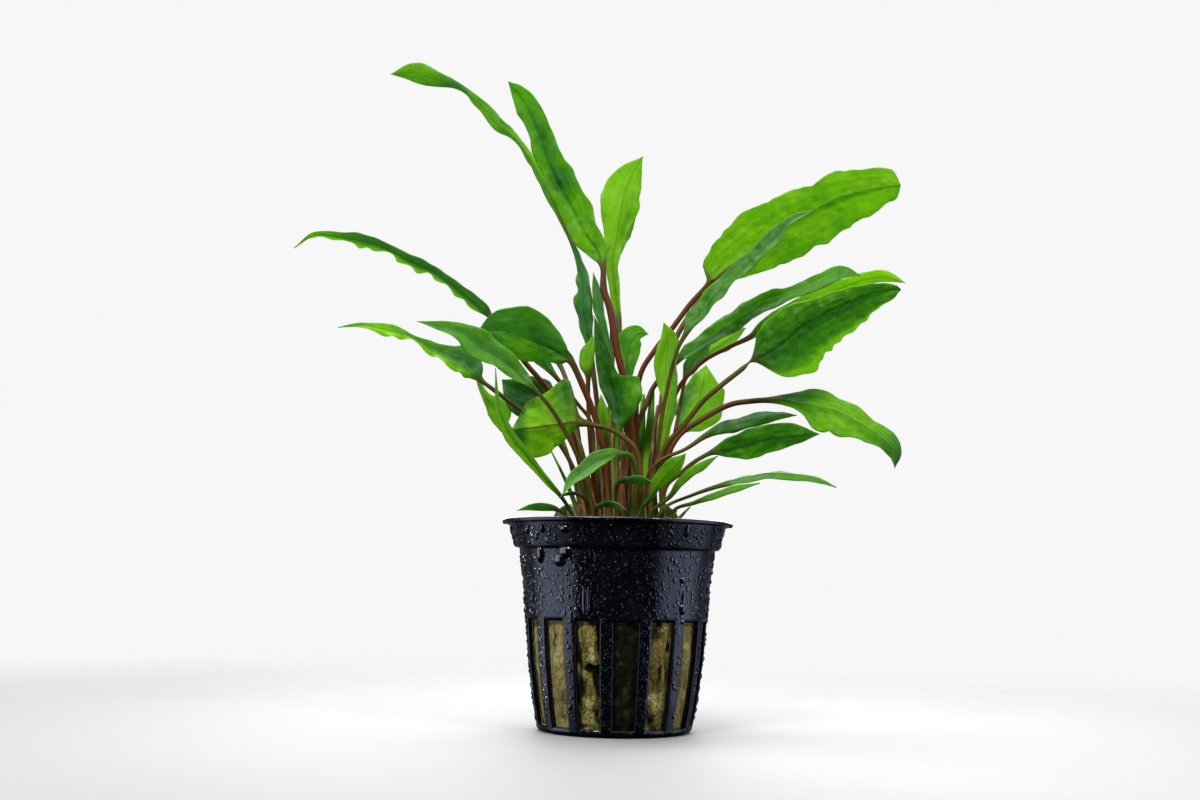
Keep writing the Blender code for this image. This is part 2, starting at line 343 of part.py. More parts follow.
def pot_outline():
    """The pot's wall: up the outside, over the rim, and down the inside to the floor."""
    rim_foot = POT_HEIGHT - RIM_THICKNESS
    outside = [
        (0.0, 0.0), (BASE_RADIUS - BASE_CORNER, 0.0), (BASE_RADIUS - 0.3, 0.35), (BASE_RADIUS, BASE_CORNER),
        (RIB_FOOT_RADIUS, RIB_FOOT_LEVEL), (RIB_MIDDLE_RADIUS, RIB_MIDDLE_LEVEL), (SLOT_TOP_RADIUS, SLOT_TOP),
        (BODY_MIDDLE_RADIUS, BODY_MIDDLE_LEVEL),
        (BODY_TOP_RADIUS, COLLAR_FOOT_LEVEL), (COLLAR_FOOT_RADIUS, COLLAR_FOOT_LEVEL + 0.25),
        (COLLAR_TOP_RADIUS, rim_foot - 0.2), (RIM_RADIUS - 0.25, rim_foot), (RIM_RADIUS, rim_foot + 0.25),
        (RIM_RADIUS, POT_HEIGHT - 0.25), (RIM_RADIUS - 0.3, POT_HEIGHT),
    ]
    inside = [
        (COLLAR_TOP_RADIUS - WALL + 0.3, POT_HEIGHT), (COLLAR_TOP_RADIUS - WALL, POT_HEIGHT - 0.5),
        (BODY_TOP_RADIUS - WALL + 0.2, COLLAR_FOOT_LEVEL + 0.3),
        (BODY_MIDDLE_RADIUS - WALL, BODY_MIDDLE_LEVEL), (SLOT_TOP_RADIUS - WALL, SLOT_TOP),
        (RIB_MIDDLE_RADIUS - WALL, RIB_MIDDLE_LEVEL), (BASE_RADIUS - WALL + 0.1, FLOOR + 0.6),
        (BASE_RADIUS - WALL - 0.6, FLOOR),
        (0.0, FLOOR),
    ]
    return outside + inside


def slot_cutter():
    """Wedges between the ribs, which cut the slots through the pot's wall."""
    bm = bmesh.new()
    inner, outer = CUTTER_INNER_RADIUS * MM, CUTTER_OUTER_RADIUS * MM
    low, high = SLOT_BOTTOM * MM, SLOT_TOP * MM
    half = radians(SLOT_ANGLE / 2)
    step = 2 * pi / SLOT_COUNT
    for index in range(SLOT_COUNT):
        middle = radians(FIRST_RIB_ANGLE) + (index + 0.5) * step
        ring = []
        for height in (low, high):
            for radius, side in ((inner, -1), (outer, -1), (outer, 1), (inner, 1)):
                angle = middle + side * half
                ring.append(bm.verts.new((radius * sin(angle), -radius * cos(angle), height)))
        bottom, top = ring[:4], ring[4:]
        bm.faces.new(bottom)
        bm.faces.new(top)
        for a in range(4):
            b = (a + 1) % 4
            bm.faces.new((bottom[a], bottom[b], top[b], top[a]))
    cutter = add_object("slot_cutter", mesh_from("slot_cutter", bm), None)
    cutter.hide_render = True
    cutter.display_type = "WIRE"
    return cutter


def build_pot():
    pot = turned("pot", pot_outline(), POT_SEGMENTS, material("black_plastic", POT_COLOUR, 0.25))
    cut = pot.modifiers.new("slots", "BOOLEAN")
    cut.operation = "DIFFERENCE"
    cut.object = slot_cutter()
    return pot


def build_wool():
    """Rock wool, shaped by the inside of the pot."""
    clear = WALL + GAP
    low = FLOOR + GAP
    bed = WOOL_TOP - GAP
    outline = [
        (0.0, low), (BASE_RADIUS - clear - 1.2, low), (BASE_RADIUS - clear - 0.2, low + 1.0),
        (RIB_MIDDLE_RADIUS - clear, RIB_MIDDLE_LEVEL), (SLOT_TOP_RADIUS - clear, SLOT_TOP),
        (BODY_MIDDLE_RADIUS - clear, BODY_MIDDLE_LEVEL),
        (BODY_TOP_RADIUS - clear - 0.3, WOOL_TOP - 1.6), (BODY_TOP_RADIUS - clear - 1.8, WOOL_TOP),
        (CROWN_RADIUS + 1.0, bed), (0.0, bed),
    ]
    return turned("rock_wool", outline, WOOL_SEGMENTS, material("rock_wool", WOOL_COLOUR, 0.95))


def build_crown():
    """The low rhizome that the leaf stalks rise from."""
    low = WOOL_TOP
    outline = [
        (0.0, low), (CROWN_RADIUS - 0.8, low), (CROWN_RADIUS, low + 0.8),
        (CROWN_RADIUS - 0.5, low + CROWN_HEIGHT - 0.4), (CROWN_RADIUS - 2.0, low + CROWN_HEIGHT),
        (0.0, low + CROWN_HEIGHT),
    ]
    return turned("crown", outline, 24, material("crown", CROWN_COLOUR, 0.7))


def in_space(point):
    """The real place of a picture point (x, depth, z): the ray through it, met at its depth."""
    x, z = point[0] - AIM[0], point[2] - AIM[1]
    right = x * cos(EYE_TILT) - z * sin(EYE_TILT)
    up = z * cos(EYE_TILT) + x * sin(EYE_TILT)
    run = (point[1] - EYE[1]) / (FOCUS * cos(EYE_RISE) - up * sin(EYE_RISE))
    rise = FOCUS * sin(EYE_RISE) + up * cos(EYE_RISE)
    return np.array((EYE[0] + run * right, point[1], EYE[2] + run * rise))


def in_picture(point):
    """The picture point of a real place (x, y, z), with its depth."""
    x, y, z = (value - start for value, start in zip(point, EYE))
    away = y * cos(EYE_RISE) + z * sin(EYE_RISE)
    right = FOCUS * x / away
    up = FOCUS * (z * cos(EYE_RISE) - y * sin(EYE_RISE)) / away
    return np.array((right * cos(EYE_TILT) + up * sin(EYE_TILT) + AIM[0], point[1],
                     up * cos(EYE_TILT) - right * sin(EYE_TILT) + AIM[1]))


def curve_at(rows, position):
    """A Catmull-Rom curve through the rows, read at a position counted in rows."""
    last = len(rows) - 1
    index = min(int(position), last - 1)
    t = position - index
    p1, p2 = rows[index], rows[index + 1]
    p0 = rows[index - 1] if index > 0 else 2 * p1 - p2
    p3 = rows[index + 2] if index + 2 <= last else 2 * p2 - p1
    return 0.5 * (2 * p1 + (p2 - p0) * t + (2 * p0 - 5 * p1 + 4 * p2 - p3) * t ** 2
                  + (3 * p1 - p0 - 3 * p2 + p3) * t ** 3)


def leaf_rows(leaf):
    """The leaf's stations from foot to tip, each a picture point with its two half widths."""
    thick = leaf["thick"]
    foot = in_picture((*leaf["foot"], FOOT_LEVEL))
    rows = [np.array((*point, thick, thick)) for point in [foot] + leaf["stalk"]]
    base = len(rows)
    rows += [np.array(station, dtype=float) for station in leaf["blade"]]
    return rows, base


def leaf_rings(leaf):
    rows, base = leaf_rows(leaf)
    last = len(rows) - 1
    positions = [base * i / STALK_RINGS for i in range(STALK_RINGS)]
    positions += [base + (last - base) * i / BLADE_RINGS for i in range(BLADE_RINGS + 1)]
    swing = tan(radians(leaf["turn"]))
    nearer = tan(radians(leaf["fold"]))
    rings = []
    for position in positions:
        row = curve_at(rows, position)
        ahead = curve_at(rows, min(position + 0.05, last))
        behind = curve_at(rows, max(position - 0.05, 0.0))
        along = ahead[:3] - behind[:3]
        run = np.hypot(along[0], along[2])
        side = np.array((-along[2], 0.0, along[0])) / max(run, 1e-6)
        blade = min(max(position - base, 0.0), 1.0)
        left = max(row[3], TIP_HALF_WIDTH)
        right = max(row[4], TIP_HALF_WIDTH)
        middle = in_space(row[:3])
        depth_left = left * (swing - nearer) * blade
        depth_right = -right * (swing + nearer) * blade
        edge_left = in_space(row[:3] + side * left + np.array((0, depth_left, 0)))
        edge_right = in_space(row[:3] - side * right + np.array((0, depth_right, 0)))
        across = edge_left - edge_right
        normal = np.cross(across, in_space(ahead[:3]) - in_space(behind[:3]))
        normal /= max(np.linalg.norm(normal), 1e-9)
        half = 0.87 * leaf["thick"] * (1 - blade) + BLADE_HALF_THICKNESS * blade
        half = min(half, 0.8 * (left + right) / 2) * normal
        near_left = (middle + edge_left) / 2
        near_right = (middle + edge_right) / 2
        rings.append([edge_left, near_left + half, near_right + half, edge_right, near_right - half,
                      near_left - half])
    return rings


def build_leaf(leaf):
    bm = bmesh.new()
    rings = [[bm.verts.new(Vector(point) * MM) for point in ring] for ring in leaf_rings(leaf)]
    sides = len(rings[0])
    for lower, upper in zip(rings, rings[1:]):
        for a in range(sides):
            b = (a + 1) % sides
            bm.faces.new((lower[a], lower[b], upper[b], upper[a]))
    bm.faces.new(rings[0])
    bm.faces.new(rings[-1])
    tone = leaf["tone"]
    colour = tuple(dark + (bright - dark) * tone for dark, bright in zip(DARK_LEAF, BRIGHT_LEAF))
    return add_object(leaf["name"], mesh_from(leaf["name"], bm), material(leaf["name"], colour, 0.45))


def main():
    clear_scene()
    build_pot()
    build_wool()
    build_crown()
    for leaf in LEAVES:
        build_leaf(leaf)


main()
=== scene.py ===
import bpy
import numpy as np
from mathutils import Matrix, Vector


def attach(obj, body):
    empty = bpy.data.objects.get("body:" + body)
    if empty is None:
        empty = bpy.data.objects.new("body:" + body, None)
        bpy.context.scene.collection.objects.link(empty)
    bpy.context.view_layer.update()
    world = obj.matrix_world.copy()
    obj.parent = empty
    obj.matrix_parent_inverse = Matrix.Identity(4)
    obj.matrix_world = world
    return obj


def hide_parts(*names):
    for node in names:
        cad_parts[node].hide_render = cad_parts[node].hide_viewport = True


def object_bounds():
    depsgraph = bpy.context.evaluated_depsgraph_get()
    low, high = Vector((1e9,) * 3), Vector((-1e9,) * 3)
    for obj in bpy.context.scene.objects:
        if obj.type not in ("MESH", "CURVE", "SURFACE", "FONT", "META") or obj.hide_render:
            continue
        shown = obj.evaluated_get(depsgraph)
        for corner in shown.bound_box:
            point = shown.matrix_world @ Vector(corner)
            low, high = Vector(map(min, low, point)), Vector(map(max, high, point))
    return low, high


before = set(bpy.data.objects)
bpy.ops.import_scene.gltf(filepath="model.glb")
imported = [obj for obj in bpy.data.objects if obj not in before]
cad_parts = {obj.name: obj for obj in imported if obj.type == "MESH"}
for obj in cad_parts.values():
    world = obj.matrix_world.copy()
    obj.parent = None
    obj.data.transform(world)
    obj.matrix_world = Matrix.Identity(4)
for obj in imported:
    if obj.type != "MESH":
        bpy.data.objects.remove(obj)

cadBox = [list(corner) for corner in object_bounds()]
millimetre = 0.001
print("frame loaded:", len(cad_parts), "nodes")

# The camera stands where the photograph was taken from: place in millimetres, angles in degrees.
cameraView = {
    "eye": (-4.7, -330.0, 34.3),
    "rise": 7.33,
    "roll": 1.1,
    "lens": 42.0,
    "sensor": 36.0,
    "focus": 329.1,     # how far from the eye the picture lies in which the leaves were read
    "aim": (-3.3, 77.6),  # the point of that picture that the eye looks straight at
}

# The pot's main sizes in millimetres, as the solids have them.
potShape = {
    "height": 48.0, "rimRadius": 27.0, "rimThickness": 0.9,
    "collarTopRadius": 25.3, "collarFootRadius": 23.9, "collarFootLevel": 41.5,
    "bodyTopRadius": 22.9, "bodyMiddleRadius": 21.8, "bodyMiddleLevel": 34.0,
    "slotTopRadius": 21.1, "ribMiddleRadius": 20.4, "ribMiddleLevel": 16.4,
    "ribFootRadius": 19.1, "ribFootLevel": 6.8, "baseRadius": 18.0, "baseCorner": 1.2,
    "wall": 1.0, "floor": 1.2,
    "slotCount": 15, "slotTop": 25.2, "slotBottom": 1.6, "slotAngle": 15.8, "firstRibAngle": -6.5,
    "slotColumns": 10, "edgeRound": 0.28,
}
slotPitch = 2 * np.pi / potShape["slotCount"]
ribHalf = slotPitch / 2 - np.radians(potShape["slotAngle"]) / 2
firstRib = np.radians(potShape["firstRibAngle"])
crownTop = 44.3


# Small tools for shapes

def softNoise(x, y, seed, wrap=64):
    # Value noise from -1 to 1: random heights on a square lattice, eased between the four nearest.
    # The lattice repeats after wrap steps of x and after 64 of y.
    heights = np.random.default_rng(seed).uniform(-1, 1, (wrap, 64))
    left, low = np.floor(x).astype(int), np.floor(y).astype(int)
    across, up = x - left, y - low
    across, up = across * across * (3 - 2 * across), up * up * (3 - 2 * up)

    def row(level):
        before, after = heights[left % wrap, level % 64], heights[(left + 1) % wrap, level % 64]
        return before * (1 - across) + after * across

    return row(low) * (1 - up) + row(low + 1) * up


def easeStep(start, end, value):
    # Zero below start, one above end, and an S curve between them.
    t = np.clip((value - start) / (end - start), 0, 1)
    return t * t * (3 - 2 * t)


def bell(value, width):
    # One at zero, falling off as a Gaussian of that width.
    return np.exp(-(value / width) ** 2)


def smoothCurve(rows, positions):
    # A Catmull-Rom curve through the rows, read at positions counted in rows.
    last = len(rows) - 1
    index = np.clip(positions.astype(int), 0, last - 1)
    t = (positions - index)[:, None]
    padded = np.vstack([2 * rows[0] - rows[1], rows, 2 * rows[-1] - rows[-2]])
    before, here, ahead, after = (padded[index + step] for step in range(4))
    return 0.5 * (2 * here + (ahead - before) * t + (2 * before - 5 * here + 4 * ahead - after) * t ** 2
                  + (3 * here - before - 3 * ahead + after) * t ** 3)


def inSpace(points):
    # The real place of picture points (x, depth, z): the ray through each one, met at its depth.
    eye, aim, focus = cameraView["eye"], cameraView["aim"], cameraView["focus"]
    rise, roll = np.radians(cameraView["rise"]), np.radians(cameraView["roll"])
    x, depth, z = points[..., 0] - aim[0], points[..., 1], points[..., 2] - aim[1]
    right = x * np.cos(roll) - z * np.sin(roll)
    up = z * np.cos(roll) + x * np.sin(roll)
    run = (depth - eye[1]) / (focus * np.cos(rise) - up * np.sin(rise))
    lift = focus * np.sin(rise) + up * np.cos(rise)
    return np.stack([eye[0] + run * right, depth, eye[2] + run * lift], axis=-1)


def inPicture(points):
    # The picture point of each real place, with its depth: the other way round.
    eye, aim, focus = cameraView["eye"], cameraView["aim"], cameraView["focus"]
    rise, roll = np.radians(cameraView["rise"]), np.radians(cameraView["roll"])
    x, y, z = (points[..., axis] - eye[axis] for axis in range(3))
    away = y * np.cos(rise) + z * np.sin(rise)
    right = focus * x / away
    up = focus * (z * np.cos(rise) - y * np.sin(rise)) / away
    return np.stack([right * np.cos(roll) + up * np.sin(roll) + aim[0], points[..., 1],
                     up * np.cos(roll) - right * np.sin(roll) + aim[1]], axis=-1)


def unit(vectors):
    # Each vector divided by its length.
    return vectors / np.maximum(np.linalg.norm(vectors, axis=-1, keepdims=True), 1e-9)


def aroundAxis(radius, angle, height):
    # Points at a radius from the upright axis and at a height, turned by an angle from the front
    # towards the right.
    return np.stack(np.broadcast_arrays(radius * np.sin(angle), -radius * np.cos(angle), height), axis=-1)


def tubeFaces(rings, sides):
    # Quads between rings of points, each ring closed on itself, facing away from the ring's middle.
    ring, side = np.meshgrid(np.arange(rings - 1), np.arange(sides), indexing="ij")
    beside = (side + 1) % sides
    quads = np.stack([ring * sides + side, ring * sides + beside,
                      (ring + 1) * sides + beside, (ring + 1) * sides + side], axis=-1)
    return quads.reshape(-1, 4)


def fanFaces(ringStart, sides, pole, outward):
    # Triangles from one closed ring to its pole.
    side = np.arange(sides)
    beside = (side + 1) % sides
    ends = (beside, side) if outward else (side, beside)
    return np.stack([np.full(sides, pole), ringStart + ends[0], ringStart + ends[1]], axis=-1)


def tubeField(points, rings, sides):
    # Vertices, quads and triangles of many closed tubes. A tube is one row of points: its rings, and
    # then the poles of its first ring and of its last.
    each = rings * sides + 2
    firsts = (np.arange(len(points)) * each)[:, None, None]
    caps = np.vstack([fanFaces(0, sides, each - 2, True),
                      fanFaces((rings - 1) * sides, sides, each - 1, False)])
    quads = (firsts + tubeFaces(rings, sides)).reshape(-1, 4)
    return points.reshape(-1, 3), quads, (firsts + caps).reshape(-1, 3)


def closedTube(points):
    # One tube of rings, with a pole in the middle of each end ring.
    rings, sides = points.shape[:2]
    poles = points[0].mean(axis=0), points[-1].mean(axis=0)
    return tubeField(np.vstack([points.reshape(-1, 3), *poles])[None], rings, sides)


def joinParts(parts):
    # One mesh's arrays out of several, with the vertex numbers moved along.
    vertices, quads, triangles, first = [], [], [], 0
    for corner, four, three in parts:
        vertices.append(corner)
        quads.append(four + first)
        triangles.append(three + first)
        first += len(corner)
    return np.vstack(vertices), np.vstack(quads), np.vstack(triangles)


def buildMesh(name, vertices, quads, triangles):
    # Vertices in millimetres, and faces as rows of vertex numbers, put in as whole arrays.
    mesh = bpy.data.meshes.new(name)
    mesh.vertices.add(len(vertices))
    mesh.vertices.foreach_set("co", (vertices * millimetre).astype(np.float32).ravel())
    corners = np.concatenate([quads.ravel(), triangles.ravel()])
    mesh.loops.add(len(corners))
    mesh.loops.foreach_set("vertex_index", corners.astype(np.int32))
    starts = np.concatenate([np.arange(len(quads)) * 4, quads.size + np.arange(len(triangles)) * 3])
    mesh.polygons.add(len(starts))
    mesh.polygons.foreach_set("loop_start", starts.astype(np.int32))
    mesh.update(calc_edges=True)
    mesh.validate()
    mesh.shade_smooth()
    return mesh


def addPiece(name, mesh, materials, node):
    # Puts the mesh in the scene as a piece of the plant, in the place of its CAD node.
    piece = bpy.data.objects.new(name, mesh)
    bpy.context.scene.collection.objects.link(piece)
    for material in materials:
        mesh.materials.append(material)
    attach(piece, "root")
    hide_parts(node)
    return piece


def storeValues(mesh, name, values):
    # One number, or one row of three numbers, for each vertex, which the material reads.
    kind, field = ("FLOAT", "value") if values.ndim == 1 else ("FLOAT_VECTOR", "vector")
    attribute = mesh.attributes.new(name, kind, "POINT")
    attribute.data.foreach_set(field, values.astype(np.float32).ravel())


# Small tools for materials

class Recipe:
    # The nodes of a material or of the world, made one after another. A value may be a number, a
    # colour or a socket.

    def __init__(self, owner):
        owner.use_nodes = True
        self.owner, self.nodes, self.links = owner, owner.node_tree.nodes, owner.node_tree.links
        self.nodes.clear()

    def feed(self, socket, value):
        # Links a socket, or sets a number or a colour.
        if isinstance(value, bpy.types.NodeSocket):
            self.links.new(value, socket)
        else:
            socket.default_value = (*value, 1.0) if socket.type == "RGBA" else value

    def add(self, kind, inputs, **settings):
        # A node, with its inputs fed by name or number.
        node = self.nodes.new("ShaderNode" + kind)
        for name, setting in settings.items():
            setattr(node, name, setting)
        for key, value in inputs.items():
            self.feed(node.inputs[key], value)
        return node

    def math(self, operation, first, second=0.0, third=0.0):
        return self.add("Math", {0: first, 1: second, 2: third}, operation=operation).outputs[0]

    def times(self, first, second):
        return self.math("MULTIPLY", first, second)

    def sway(self, value, pattern, amount):
        # The value, raised and lowered by a pattern that runs from 0 to 1 about its middle.
        return self.math("ADD", value, self.times(self.math("SUBTRACT", pattern, 0.5), amount))

    def mix(self, amount, first, second):
        # The first colour at 0 and the second at 1.
        return self.add("Mix", {0: amount, 6: first, 7: second}, data_type="RGBA").outputs[2]

    def mixShaders(self, amount, first, second):
        return self.add("MixShader", {0: amount, 1: first, 2: second}).outputs[0]

    def attribute(self, name):
        # A row of three numbers of the mesh, whole and one by one.
        vector = self.add("Attribute", {}, attribute_name=name).outputs["Vector"]
        return vector, *self.add("SeparateXYZ", {0: vector}).outputs

    def objectPlace(self):
        # Object coordinates counted in millimetres.
        place = self.add("TexCoord", {}).outputs["Object"]
        return self.stretched(place, (1 / millimetre, 1 / millimetre, 1 / millimetre))

    def stretched(self, vector, scale, turn=(0.0, 0.0, 0.0)):
        return self.add("Mapping", {"Vector": vector, "Scale": scale, "Rotation": turn}).outputs[0]

    def noise(self, vector, scale, detail=2.0, roughness=0.5):
        inputs = {"Vector": vector, "Scale": scale, "Detail": detail, "Roughness": roughness}
        return self.add("TexNoise", inputs).outputs[0]

    def streaks(self, vector, scale, turn=(0.0, 0.0, 0.0), detail=2.0, roughness=0.5):
        # Noise drawn out by a different scale along each axis.
        return self.noise(self.stretched(vector, scale, turn), 1.0, detail, roughness)

    def cells(self, vector, scale, feature="F1"):
        # How far each point is from the middle or the edge of its cell.
        inputs = {"Vector": vector, "Scale": scale}
        return self.add("TexVoronoi", inputs, feature=feature).outputs["Distance"]

    def ramp(self, amount, stops):
        # Colours by amount; stops is a list of (place, colour).
        node = self.add("ValToRGB", {0: amount})
        elements = node.color_ramp.elements
        while len(elements) < len(stops):
            elements.new(0.5)
        for element, (place, colour) in zip(elements, stops):
            element.position, element.color = place, (*colour, 1.0)
        return node.outputs[0]

    def step(self, amount, low, high, lowValue=0.0, highValue=1.0):
        # A smooth step of the amount from low to high.
        inputs = {0: amount, 1: low, 2: high, 3: lowValue, 4: highValue}
        return self.add("MapRange", inputs, interpolation_type="SMOOTHSTEP").outputs[0]

    def bump(self, height, distance, strength, under=None):
        # Relief by height, on top of the relief under it.
        inputs = {"Height": height, "Distance": distance, "Strength": strength}
        inputs.update({} if under is None else {"Normal": under})
        return self.add("Bump", inputs).outputs[0]

    def principled(self, colour, roughness, specular, normal=None):
        inputs = {"Base Color": colour, "Roughness": roughness, "Specular IOR Level": specular}
        inputs.update({} if normal is None else {"Normal": normal})
        return self.add("BsdfPrincipled", inputs).outputs[0]

    def finish(self, shader):
        kind = "World" if isinstance(self.owner, bpy.types.World) else "Material"
        self.add("Output" + kind, {"Surface": shader})
        return self.owner


# The leaves. Each has its foot on the crown in millimetres, the points of its stalk, and stations
# along the midrib that end in the half widths to its left and right, read in the picture from the
# eye. turn swings the left edge away from the eye, fold brings both edges nearer, cup arches the
# blade, and wave is the height of the left and right edge and the length between crests. shows says
# which side faces the eye. How bright a leaf is holds its own green together with painted light and
# shade: bright where light shines through it, dark where it lies in shade. How blue it is is a painted
# bluish sheen. brown says how far up the midrib the brown of the stalk runs, and red how red that
# stalk is: 0 is olive, 1 red and -1 green. A spot is (along, across, length, width, how much brighter,
# how much more painted sheen), with across from -1 at the left edge to 1 at the right one; its
# brightness paints patches of light and shade as well as colour.
leafMaking = {
    "bladeStep": 0.5, "stalkStep": 1.0, "columnWidth": 0.42, "fewestColumns": 8, "mostColumns": 34,
    "bladeHalfThickness": 0.15, "tipHalfWidth": 0.05, "footWider": 1.2, "footSunk": 1.4, "footGap": 0.8,
    "edgeRoughness": 0.11, "raggedLengths": (3.6, 1.5), "buckle": 0.13, "buckleLength": 9,
    "veinDepth": 0.18, "veinPlaces": (0.30, 0.57, 0.81), "veinWidth": 0.32,
    "puckerRise": 2.1, "puckerSize": (2.3, 1.6), "finePuckerSize": (1.2, 0.9),
    "waveRise": 1.25, "fineWaveLength": 1.7,
    "otherSide": {"top": (0.15, -0.5), "under": (-0.25, 0.35)},  # how much brighter it is, and how much more painted sheen it has
}
leafDefaults = dict(turn=0, fold=0, blue=0.0, red=0.4, brown=0.0, spots=[])
guessedLook = dict(blue=0.2, brown=0.1, pucker=0.3, cup=0.12)  # leaves at the back, not seen from the eye
